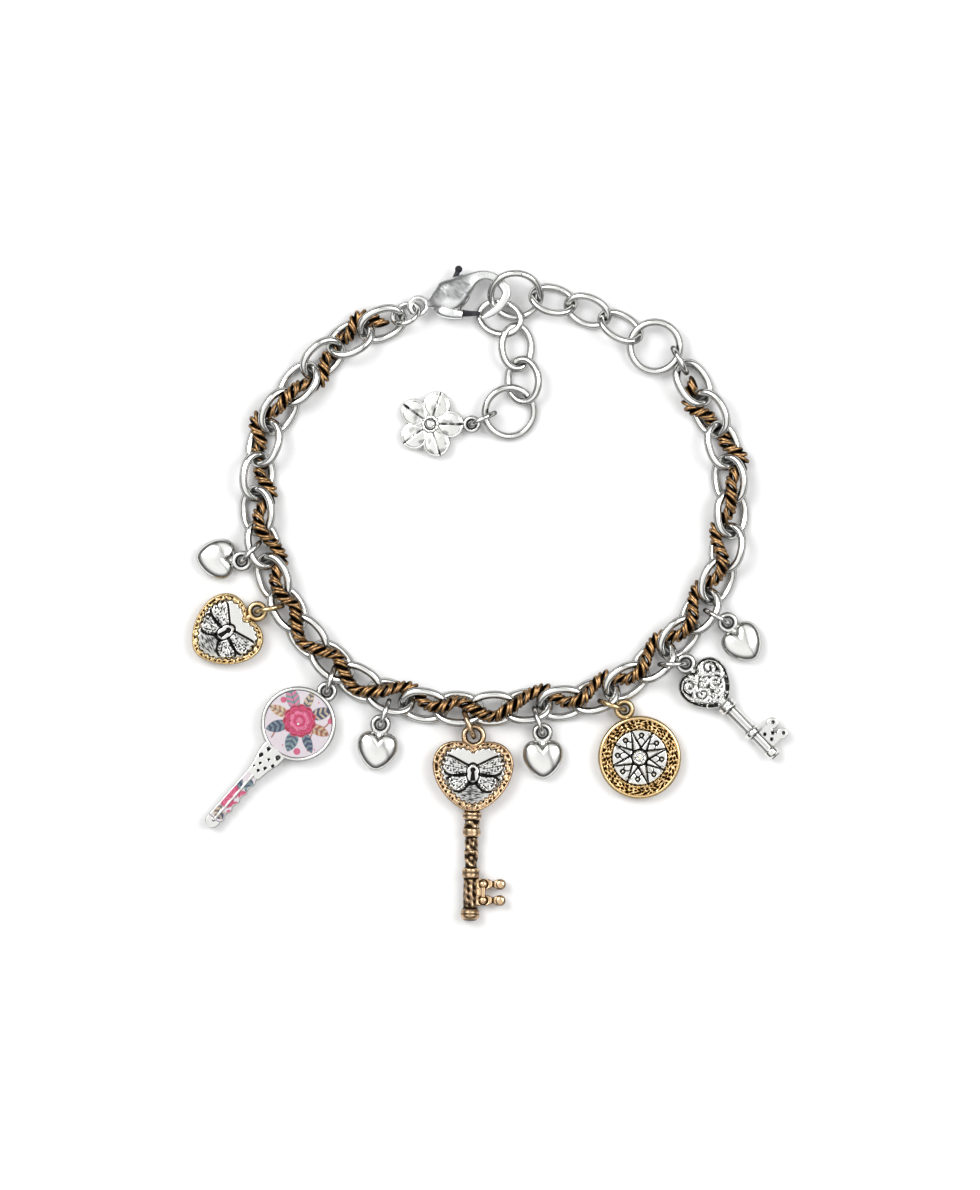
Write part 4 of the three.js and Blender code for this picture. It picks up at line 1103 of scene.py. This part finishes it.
casting = Casting()
flat_loop(casting)
turned(casting, [(1.1, 0.45), (2.7, 0.6)], sides=16)
x, y, share, arc, around = heart_grid(1.0, 6.5, 7.0, 78, 230)
face = scroll_face(x, y, share)
carved_plate(casting, x, y, share, face, -0.75, patina=hollows(face, 16, 13.0, 0.1))
turned(casting, KEY_STEM, sides=48, carve=facets, gain=8.0)
bit_x = np.linspace(13.4, 16.0, 44)
carved_bar(casting, bit_x, np.full(44, 0.4), 2.45 - 0.35 * groove(bit_x - 14.7, 0.45), bit_face, -0.48)
for lobe in (13.75, 15.65):
    x, y, share, angle = disc_grid(lobe, 2.75, 0.78, 16, 40)
    carved_plate(casting, x, y, share, bit_face(x, y) + 0.02, -0.5, edge=0.25, soft=0.15)
casting.make("silver_key_casting", "silver_key", [SILVER], place=placer("silver_key"),
             sharp=50)
print("silver key made:", casting.count, "points")

# %% [markdown]
# ## The printed picture
# The enamelled key shows blossoms and leaves in pink, blue-green and brown on pale lilac. The
# picture here is a new one: layered round blossoms, striped leaves, two twigs and a few dots, drawn
# one over the other. Each motif is a distance again, and its colour covers what is below it.

# %% Picture tools
LILAC = (0.62, 0.56, 0.60)
PINK = (0.52, 0.025, 0.12)
PALE_PINK = (0.68, 0.16, 0.30)
CRIMSON = (0.30, 0.006, 0.03)
INK = (0.035, 0.045, 0.10)
SEA_GREEN = (0.16, 0.24, 0.25)
BUFF = (0.52, 0.42, 0.28)
TWIG = (0.30, 0.10, 0.05)


def cover(canvas, amount, colour):
    amount = np.clip(amount, 0, 1)[..., None]
    return canvas * (1 - amount) + np.array(colour) * amount


def paint_leaf(canvas, x, y, cx, cy, turn, length, half, colour, stripe):
    u = ((x - cx) * math.cos(turn) + (y - cy) * math.sin(turn)) / length
    v = (-(x - cx) * math.sin(turn) + (y - cy) * math.cos(turn))
    edge = half * np.clip(4 * u * (1 - u), 0, 1) ** 0.8 * (u > 0) * (u < 1)
    canvas = cover(canvas, (edge - np.abs(v)) / 0.08 + 0.5 * (edge > 0), colour)
    ribs = (np.sin((u * length - 0.6 * np.abs(v)) * 9) > 0.15) & (np.abs(v) < edge - 0.06)
    canvas = cover(canvas, ribs * 0.85, stripe)
    return cover(canvas, groove(v, 0.04) * (edge > 0.1), INK)


def paint_blossom(canvas, x, y, cx, cy, radius):
    """Petals in rings, darker outside and paler inside, each edged with a light line."""
    r = np.hypot(x - cx, y - cy)
    angle = np.arctan2(y - cy, x - cx)
    layers = ((1.0, 11, CRIMSON), (0.86, 9, PINK), (0.68, 8, CRIMSON), (0.6, 7, PALE_PINK),
              (0.42, 6, PINK), (0.27, 5, CRIMSON), (0.2, 4, PALE_PINK))
    for k, (share, petals, colour) in enumerate(layers):
        edge = radius * share * (0.9 + 0.1 * np.abs(np.sin(petals * angle / 2 + k)))
        canvas = cover(canvas, (edge - r) / 0.08, colour)
        canvas = cover(canvas, 0.55 * groove(edge - 0.1 - r, 0.05) * (edge > r), PALE_PINK)
        fold = groove(np.sin(petals * angle / 2 + k), 0.12) * (r < edge) * (r > edge * 0.72)
        canvas = cover(canvas, 0.6 * fold, CRIMSON)
    speckle = step(mottle(x * 1.3, y * 1.3, 5.0 / radius + 3.0) - 0.6, 0.15) * (r < radius * 0.85)
    return cover(canvas, 0.55 * speckle, CRIMSON)


def paint_line(canvas, x, y, points, half, colour):
    return cover(canvas, (half - from_line(x, y, rounded(np.array(points, float), 5))) / 0.05 + 0.5, colour)


# %% Picture on the bow and the blade
BLOSSOM = (5.3, -0.15)
BLOSSOM_RADIUS = 2.3
LEAF_START = 1.3

# direction, length, half-width, colour and stripes of the leaves round the large blossom
BOUQUET = [
    (20, 3.1, 0.85, SEA_GREEN, INK), (62, 3.3, 0.6, INK, SEA_GREEN), (105, 3.1, 0.7, TWIG, BUFF),
    (150, 3.2, 0.8, INK, BUFF), (196, 3.0, 0.6, BUFF, INK), (238, 3.5, 0.9, SEA_GREEN, PALE_PINK),
    (285, 3.2, 0.7, BUFF, TWIG), (325, 3.3, 0.8, INK, SEA_GREEN),
]


TWIGS = [[(1.6, 2.4), (3.4, 3.0), (5.0, 2.2), (6.4, 2.6), (7.6, 3.3)],
         [(6.6, -0.6), (8.0, -1.6), (9.4, -1.5)]]
TWIG_HALF = 0.09


def paint_bow(x, y):
    canvas = np.ones((*x.shape, 3)) * LILAC
    for twig in TWIGS:
        canvas = paint_line(canvas, x, y, twig, TWIG_HALF, TWIG)
    for turn, length, half, colour, stripe in BOUQUET:
        way = math.radians(turn)
        x0, y0 = BLOSSOM[0] + LEAF_START * math.cos(way), BLOSSOM[1] + LEAF_START * math.sin(way)
        canvas = paint_leaf(canvas, x, y, x0, y0, way, length, half, colour, stripe)
    canvas = paint_blossom(canvas, x, y, *BLOSSOM, BLOSSOM_RADIUS)
    for bx, by, size in ((8.6, 2.3, 0.5), (2.6, 3.0, 0.42), (4.6, -3.6, 0.45)):
        canvas = paint_blossom(canvas, x, y, bx, by, size)
    for bx, by in ((3.0, -3.0), (9.2, 0.3), (1.8, 0.2), (6.9, 3.9), (5.9, -3.9)):
        canvas = cover(canvas, (0.12 - np.hypot(x - bx, y - by)) / 0.05, PINK)
    return canvas


def paint_blade(x, y):
    canvas = np.ones((*x.shape, 3)) * LILAC
    for leaf in ((15.4, 0.3, 0.3, 1.9, 0.6, SEA_GREEN, INK), (16.2, -0.7, 0.1, 1.8, 0.5, INK, SEA_GREEN),
                 (20.6, -0.5, 0.2, 1.8, 0.55, BUFF, INK), (21.0, 0.7, -0.3, 1.4, 0.4, INK, BUFF)):
        canvas = paint_leaf(canvas, x, y, *leaf)
    for bx, by, size in ((18.4, -0.75, 1.15), (19.7, -0.3, 1.0), (17.8, 0.8, 0.7), (19.4, 1.0, 0.6),
                         (20.7, 0.9, 0.4)):
        canvas = paint_blossom(canvas, x, y, bx, by, size)
    return canvas


# %% [markdown]
# ## The enamelled key
# A round bow with a silver rim holds the picture, a tapering collar with black drop-shaped dents
# leads to the blade, and the blade carries the picture on both sides of a bare middle ridge. One
# edge of the blade is cut into teeth, and its tip is bare silver.

# %% Enamelled key
BOW_MIDDLE = 5.74
BOW_RADIUS = 5.0
RIM_WIDTH = 0.5
BLADE_START = 14.5
BLADE_END = 23.9
TOOTH_PITCH = 1.56
DENTS = [(10.9, 0.95, 0.34), (10.8, -0.75, 0.3), (11.9, 0.2, 0.2), (12.2, 1.15, 0.24), (12.1, -1.0, 0.3),
         (13.0, -0.35, 0.2), (13.1, 0.6, 0.24), (13.9, 0.1, 0.22), (13.8, -0.75, 0.16)]


def collar_face(x, y):
    height = 0.88 + 0.08 * (1 - (y / 1.8) ** 2)
    for dx, dy, size in DENTS:
        height = height - 0.35 * step(size - np.hypot((x - dx) * 0.8, y - dy), 0.14)
    return height


def blade_face(x, y):
    ridge = 0.26 * step(0.2 - np.abs(y), 0.09) * step(BLADE_END - 0.9 - x, 0.2)
    tip = 0.14 * step(x - 22.5, 0.15)
    return 0.62 + ridge + tip


def blade_kinds(x, y):
    outer = np.where(y > 0, blade_right(x) - 0.17, 0.85)
    return ((np.abs(y) > 0.19) & (np.abs(y) < outer) & (x < 22.5) & (x > 14.9)).astype(int)


def blade_right(x):
    tooth = np.clip(np.abs(((x - BLADE_START - 0.5) / TOOTH_PITCH) % 1 - 0.5) * 4 - 0.9, -0.5, 0.5)
    toothed = 0.92 - 0.25 * tooth
    return np.where(x < BLADE_END - 1.2, toothed, 0.95)


casting = Casting()
flat_loop(casting)
x, y, share, angle = disc_grid(BOW_MIDDLE, 0, BOW_RADIUS, 84, 400)
r = share * BOW_RADIUS
field = BOW_RADIUS - RIM_WIDTH
rim = 0.74 + 0.2 * dome(r - field - RIM_WIDTH / 2, RIM_WIDTH / 2 + 0.06)
filled = 0.74 + 0.1 * (1 - (r / field) ** 2)
face = np.where(r < field, filled, rim)
# a dark line where the enamel meets the rim, and a dark outer edge: painted shade where the rim rolls away
# from above
dark = 0.06 + 0.8 * groove(r - field, 0.09) + 0.6 * step(r - BOW_RADIUS + 0.16, 0.14)
carved_plate(casting, x, y, share, face, -0.9, kinds=np.where(r < field - 0.03, 1, 0),
             paint=paint_bow(x, y), patina=dark, edge=0.04, soft=0.2)
collar_x = np.linspace(10.2, 14.8, 80)
collar_half = np.interp(collar_x, [10.2, 11.6, 13.2, 14.8], [1.75, 1.7, 1.25, 1.02])
carved_bar(casting, collar_x, -collar_half, collar_half, collar_face, -0.85, across=48)
blade_x = np.linspace(BLADE_START, BLADE_END, 190)
tip_share = np.clip(blade_x - (BLADE_END - 1.0), 0, 1)
tip_round = np.sqrt(1 - 0.9 * tip_share ** 2)
carved_bar(casting, blade_x, -tip_round, blade_right(blade_x) * tip_round, blade_face, -0.75, across=44,
           kinds=blade_kinds, paint=paint_blade, soft=0.12, gain=5.0)
casting.make("enamel_key_casting", "enamel_key", [SILVER, ENAMEL],
             place=placer("enamel_key"), sharp=50)
print("enamelled key made:", casting.count, "points")

# %% [markdown]
# ## The flower tag
# A little flat flower with five round petals hangs from the extender's end. Each petal is polished,
# has a fine crease along its middle and is worn in patches, and a bead sits in the centre.

# %% The tag's petals and bead
TAG_MIDDLE = 5.5
PETALS = 5
PETAL_REACH = 2.65
PETAL_RADIUS = 1.85
CENTRE_RADIUS = 1.2

casting = Casting()
flat_loop(casting, 0.85, 0.7)
for k in range(PETALS):
    way = math.pi + 2 * math.pi * k / PETALS
    px, py = TAG_MIDDLE + PETAL_REACH * math.cos(way), PETAL_REACH * math.sin(way)
    x, y, share, angle = disc_grid(px, py, PETAL_RADIUS, 30, 90)
    off_line = np.abs(-(x - TAG_MIDDLE) * math.sin(way) + y * math.cos(way))
    face = 0.52 + 0.14 * (1 - share ** 2) - 0.16 * groove(off_line, 0.1)
    face = face - 0.06 * groove((share - 0.84) * PETAL_RADIUS, 0.1)
    worn = 0.5 * step(mottle(x, y, 1.7) - 0.5, 0.4) * (share < 0.8)
    carved_plate(casting, x, y, share, face, -0.6, edge=0.12, soft=0.25, patina=hollows(face) + worn)
x, y, share, angle = disc_grid(TAG_MIDDLE, 0, CENTRE_RADIUS, 24, 72)
r = share * CENTRE_RADIUS
scallop = np.cos(angle * PETALS * 2)
face = 0.7 + 0.28 * dome(r, 0.62) - 0.16 * groove(r - 0.72, 0.1)
face = face + 0.05 * scallop * step(share - 0.7, 0.1)
carved_plate(casting, x, y, share, face, -0.55, edge=0.2, soft=0.2)
casting.make("flower_tag_casting", "flower_tag", [SILVER], place=placer("flower_tag"), sharp=None)
print("flower tag made")

# %% [markdown]
# ## The lobster clasp
# The body is a hook that swells into a hollow housing, and the lever sits in a slot of it with a
# spring behind. The body is a row of sections along a bent line, smoothed between the given ones,
# and each is squarer than an ellipse, as the flats of a polished clasp are. The slot is cut with a
# Boolean, because it has straight walls. The hinge pin inside the housing can't be seen and isn't
# drawn.

# %% Clasp body
EYE = np.array([-9.53, 38.53, 1.75]) + moved
PITCH = math.radians(-3.1)
SLOT_HALF = 0.45
SLOT_START, SLOT_END = 3.3, 6.8
EYE_RADIUS = 1.12
EYE_WIRE = 0.76

# x, y, half-width in the plane, half-depth
HOOK = np.array([
    (1.1, 0.2, 0.5, 0.38), (1.6, 0.36, 0.75, 0.6), (2.47, 0.67, 1.45, 1.05), (3.67, 1.1, 2.2, 1.45),
    (4.9, 1.8, 2.1, 1.5), (6.2, 2.87, 1.5, 1.15), (7.5, 3.75, 0.9, 0.8), (8.85, 4.12, 0.66, 0.6),
    (10.2, 3.75, 0.62, 0.52), (11.35, 2.67, 0.68, 0.55), (11.75, 1.6, 0.65, 0.55), (11.2, 0.35, 0.6, 0.52),
    (10.25, -0.6, 0.52, 0.5), (9.25, -1.25, 0.42, 0.42), (8.5, -1.62, 0.22, 0.25)])
HOUSING = np.array([
    (2.2, -0.1, 0.5, 0.6), (3.2, -0.6, 0.9, 1.2), (4.6, -0.95, 0.85, 1.3), (5.9, -1.15, 0.65, 1.0)])


def place_on_eye(points):
    return points @ tilted(PITCH).T + EYE


def bar_of_sections(casting, sections, per_span=8, sides=40, square=3.2):
    line = rounded(sections, per_span)
    ahead = np.gradient(line[:, :2], axis=0)
    side = np.stack([-ahead[:, 1], ahead[:, 0]], -1)
    side /= np.linalg.norm(side, axis=1, keepdims=True)
    turn = np.linspace(0, 2 * math.pi, sides, endpoint=False)
    wide = np.sign(np.cos(turn)) * np.abs(np.cos(turn)) ** (2 / square)
    deep = np.sign(np.sin(turn)) * np.abs(np.sin(turn)) ** (2 / square)
    flat = line[:, None, :2] + side[:, None, :] * (line[:, 2:3] * wide)[..., None]
    casting.add(np.concatenate([flat, (line[:, 3:4] * deep)[..., None]], -1))


def box(name, low, high):
    casting = Casting()
    ring = [(low[0], low[1]), (high[0], low[1]), (high[0], high[1]), (low[0], high[1])]
    casting.add([[(x, y, z) for x, y in ring] for z in (low[2], high[2])])
    mesh = new_mesh(name, place_on_eye(np.concatenate(casting.points)), casting.faces)
    face_outwards(mesh)
    return bpy.data.objects.new(name, mesh)


casting = Casting()
bar_of_sections(casting, HOOK)
bar_of_sections(casting, HOUSING)
bend(casting, flat_ring(EYE_RADIUS), EYE_WIRE, steps=40, sides=14, darkening=0.4)
body = casting.make("clasp_body_casting", "clasp_body", [BRUSHED], place=place_on_eye, sharp=40)

# %% The slot for the lever
cutter = box("clasp slot", (SLOT_START, -4, -SLOT_HALF), (SLOT_END, 6, SLOT_HALF))
bpy.context.scene.collection.objects.link(cutter)
cut = body.modifiers.new("slot", "BOOLEAN")
cut.operation, cut.solver, cut.object = "DIFFERENCE", "EXACT", cutter
cut.use_self = True
bpy.context.view_layer.update()
whole = body.evaluated_get(bpy.context.evaluated_depsgraph_get())
carved = bpy.data.meshes.new_from_object(whole)
body.modifiers.clear()
body.data = carved
bpy.data.objects.remove(cutter)
carved.set_sharp_from_angle(angle=math.radians(40))
print("clasp body faces:", len(carved.polygons))

# %% [markdown]
# ## Darkness on the clasp
# The slot keeps its tarnish, and the broad face is brushed grey. The darkness is worked out from
# where each point lies, in the clasp's own drawing.

# %% Tarnish of the clasp
spots = np.zeros(len(carved.vertices) * 3, np.float32)
carved.vertices.foreach_get("co", spots)
x, y, z = ((spots.reshape(-1, 3).astype(float) / MM - EYE) @ tilted(PITCH)).T
in_slot = (np.abs(z) < SLOT_HALF + 0.02) & (x > SLOT_START - 0.05) & (x < SLOT_END + 0.05)
brushed = step(z - 0.45, 0.7) * step(8.6 - x, 2.0) * step(y - 0.4, 0.8)
streaky = 0.4 + 0.25 * mottle(x * 2 + y, y * 2 - x, 6.0)
shade = 0.05 + 0.8 * in_slot + streaky * brushed
attribute = carved.attributes.get("patina") or carved.attributes.new("patina", "FLOAT", "POINT")
attribute.data.foreach_set("value", shade.astype(np.float32))

# %% [markdown]
# ## The lever
# The lever is a thin plate that bends round its pin, with a little ball to push and a gate that
# closes the hook. It turns on its own body, so it is a piece of its own.

# %% Lever
LEVER_HALF = 0.35
LEVER = rounded(np.array([
    (5.1, 4.9), (4.66, 4.1), (4.15, 2.6), (3.75, 1.2), (3.95, 0.5), (4.45, -0.5), (5.4, -1.35),
    (6.4, -1.42), (7.4, -1.35), (8.15, -1.27), (8.3, -1.0), (8.1, -0.72), (7.2, -0.68), (6.2, -0.55),
    (5.6, -0.3), (5.2, 0.6), (5.2, 1.4), (4.85, 2.4), (5.3, 3.9), (5.6, 4.7)]), 4, closed=True)
KNOB = (5.36, 4.89)


def shrunk(outline, by):
    """The outline moved inwards."""
    ahead = np.roll(outline, -1, 0) - np.roll(outline, 1, 0)
    inward = np.stack([-ahead[:, 1], ahead[:, 0]], -1)
    return outline + inward / np.linalg.norm(inward, axis=1, keepdims=True) * by


def rounded_plate(casting, outline, half, soft, patina):
    levels = [(soft, -half), (soft * 0.3, -half + soft * 0.3), (0, -half + soft), (0, half - soft),
              (soft * 0.3, half - soft * 0.3), (soft, half)]
    rows = [np.column_stack([shrunk(outline, by), np.full(len(outline), z)]) for by, z in levels]
    casting.add(rows, patina=patina)


def ball(casting, centre, radius, patina):
    tilt = np.linspace(0.12, math.pi - 0.12, 16)
    turn = np.linspace(0, 2 * math.pi, 28, endpoint=False)
    wide, high = np.sin(tilt)[:, None], np.cos(tilt)[:, None]
    rows = np.stack([np.cos(turn) * wide, np.sin(turn) * wide, np.broadcast_to(high, (16, 28))], -1)
    casting.add(rows * radius + np.array(centre), patina=patina)


casting = Casting()
rounded_plate(casting, LEVER, LEVER_HALF, 0.1, 0.8)
ball(casting, (*KNOB, 0), 0.5, 0.9)
casting.make("clasp_lever_casting", "clasp_lever", [BRUSHED], body="lever",
             place=place_on_eye, sharp=40)
print("lever made")

# %% [markdown]
# ## Table, light and camera
# The table is a plain pale sheet. Polished metal shows its surroundings more than its own colour, so
# the sky is a soft white tent that is dark low down, and a dark strip crosses it beside the camera.
# The low darkness gives every wire its dark lines, and the strip draws a thin streak over each
# polished dome. Two broad lamps add soft shadows.

# %% Table
pale = bpy.data.materials.new("pale table")
paper = NodeTree(pale)
where = paper.add("TexCoord", {}).outputs["Object"]
uneven = paper.add("TexNoise", {"Vector": where, "Scale": 60.0, "Detail": 4.0}).outputs["Fac"]
tone = paper.ramp(uneven, [(0.0, (0.865, 0.865, 0.865)), (1.0, (0.885, 0.885, 0.885))])
paper.feed(pale.node_tree.nodes["Principled BSDF"],
           {"Base Color": tone, "Roughness": 0.8, "Specular IOR Level": 0.15})

FLOOR_HALF = 3.0
floor_mesh = bpy.data.meshes.new("table")
corners = [(-FLOOR_HALF, -FLOOR_HALF, 0), (FLOOR_HALF, -FLOOR_HALF, 0), (FLOOR_HALF, FLOOR_HALF, 0),
           (-FLOOR_HALF, FLOOR_HALF, 0)]
floor_mesh.from_pydata(corners, [], [(0, 1, 2, 3)])
floor_mesh.materials.append(pale)
floor = bpy.data.objects.new("table", floor_mesh)
bpy.context.scene.collection.objects.link(floor)

# %% Sky
# height above the table's plane (0 level, 1 straight up) and brightness
TENT = [(0.0, 0.22), (0.05, 0.10), (0.45, 0.10), (0.60, 0.40), (0.74, 1.0), (0.93, 1.05), (1.0, 0.92)]
# how far along the strip's direction (0.5 is straight up) and how much light passes
STRIP = [(0.0, 1.0), (0.565, 1.0), (0.59, 0.2), (0.615, 0.2), (0.64, 1.0)]
STRIP_WAY = (0.84, 0.54, 0.0)

world = bpy.data.worlds.new("tent")
bpy.context.scene.world = world
sky = NodeTree(world)
way = sky.add("TexCoord", {}).outputs["Generated"]
height = sky.add("SeparateXYZ", {0: way}).outputs["Z"]
crossing = sky.add("VectorMath", {0: way, 1: STRIP_WAY}, operation="DOT_PRODUCT").outputs["Value"]
crossing = sky.add("Math", {0: crossing, 1: 0.5, 2: 0.5}, operation="MULTIPLY_ADD").outputs[0]
tent = sky.ramp(height, [(place, (light,) * 3) for place, light in TENT])
strip = sky.ramp(crossing, [(place, (light,) * 3) for place, light in STRIP])
both = sky.add("VectorMath", {0: tent, 1: strip}, operation="MULTIPLY").outputs["Vector"]
sky.feed(world.node_tree.nodes["Background"], {"Color": both, "Strength": 1.0})

# %% Lamps
# place in metres, width in metres and power in watts; both lamps look at the bracelet
LAMPS = [((-0.45, 0.35, 0.75), 0.5, 4.6), ((0.5, 0.15, 0.7), 0.45, 3.0)]
for place, width, power in LAMPS:
    data = bpy.data.lights.new("softbox", "AREA")
    data.shape, data.size, data.energy = "SQUARE", width, power
    lamp = bpy.data.objects.new("softbox", data)
    bpy.context.scene.collection.objects.link(lamp)
    lamp.location = place
    lamp.rotation_mode = "QUATERNION"
    lamp.rotation_quaternion = (-Vector(place)).to_track_quat("-Z", "Y")

# %% [markdown]
# ## Camera
# The photograph was taken from straight above with a long lens. One millimetre of the bracelet is
# seven and a half pixels of the picture, so the width that the lens has to cover follows from the
# picture's size.

# %% Camera
PHOTO_HEIGHT = 1190
PIXELS_PER_MM = 7.5
CAMERA_HEIGHT = 1.2
MEASURE_HEIGHT = 0.0016
camera_data = bpy.data.cameras.new("camera")
camera = bpy.data.objects.new("camera", camera_data)
bpy.context.scene.collection.objects.link(camera)
bpy.context.scene.camera = camera
camera.location = (moved[0] * MM, moved[1] * MM, CAMERA_HEIGHT)
covered = PHOTO_HEIGHT / PIXELS_PER_MM * MM
camera_data.sensor_width = 36.0
camera_data.lens = camera_data.sensor_width * (CAMERA_HEIGHT - MEASURE_HEIGHT) / covered
camera_data.clip_start, camera_data.clip_end = 0.05, 20.0
bpy.context.scene.view_settings.view_transform = "Standard"
print("lens", round(camera_data.lens), "mm")
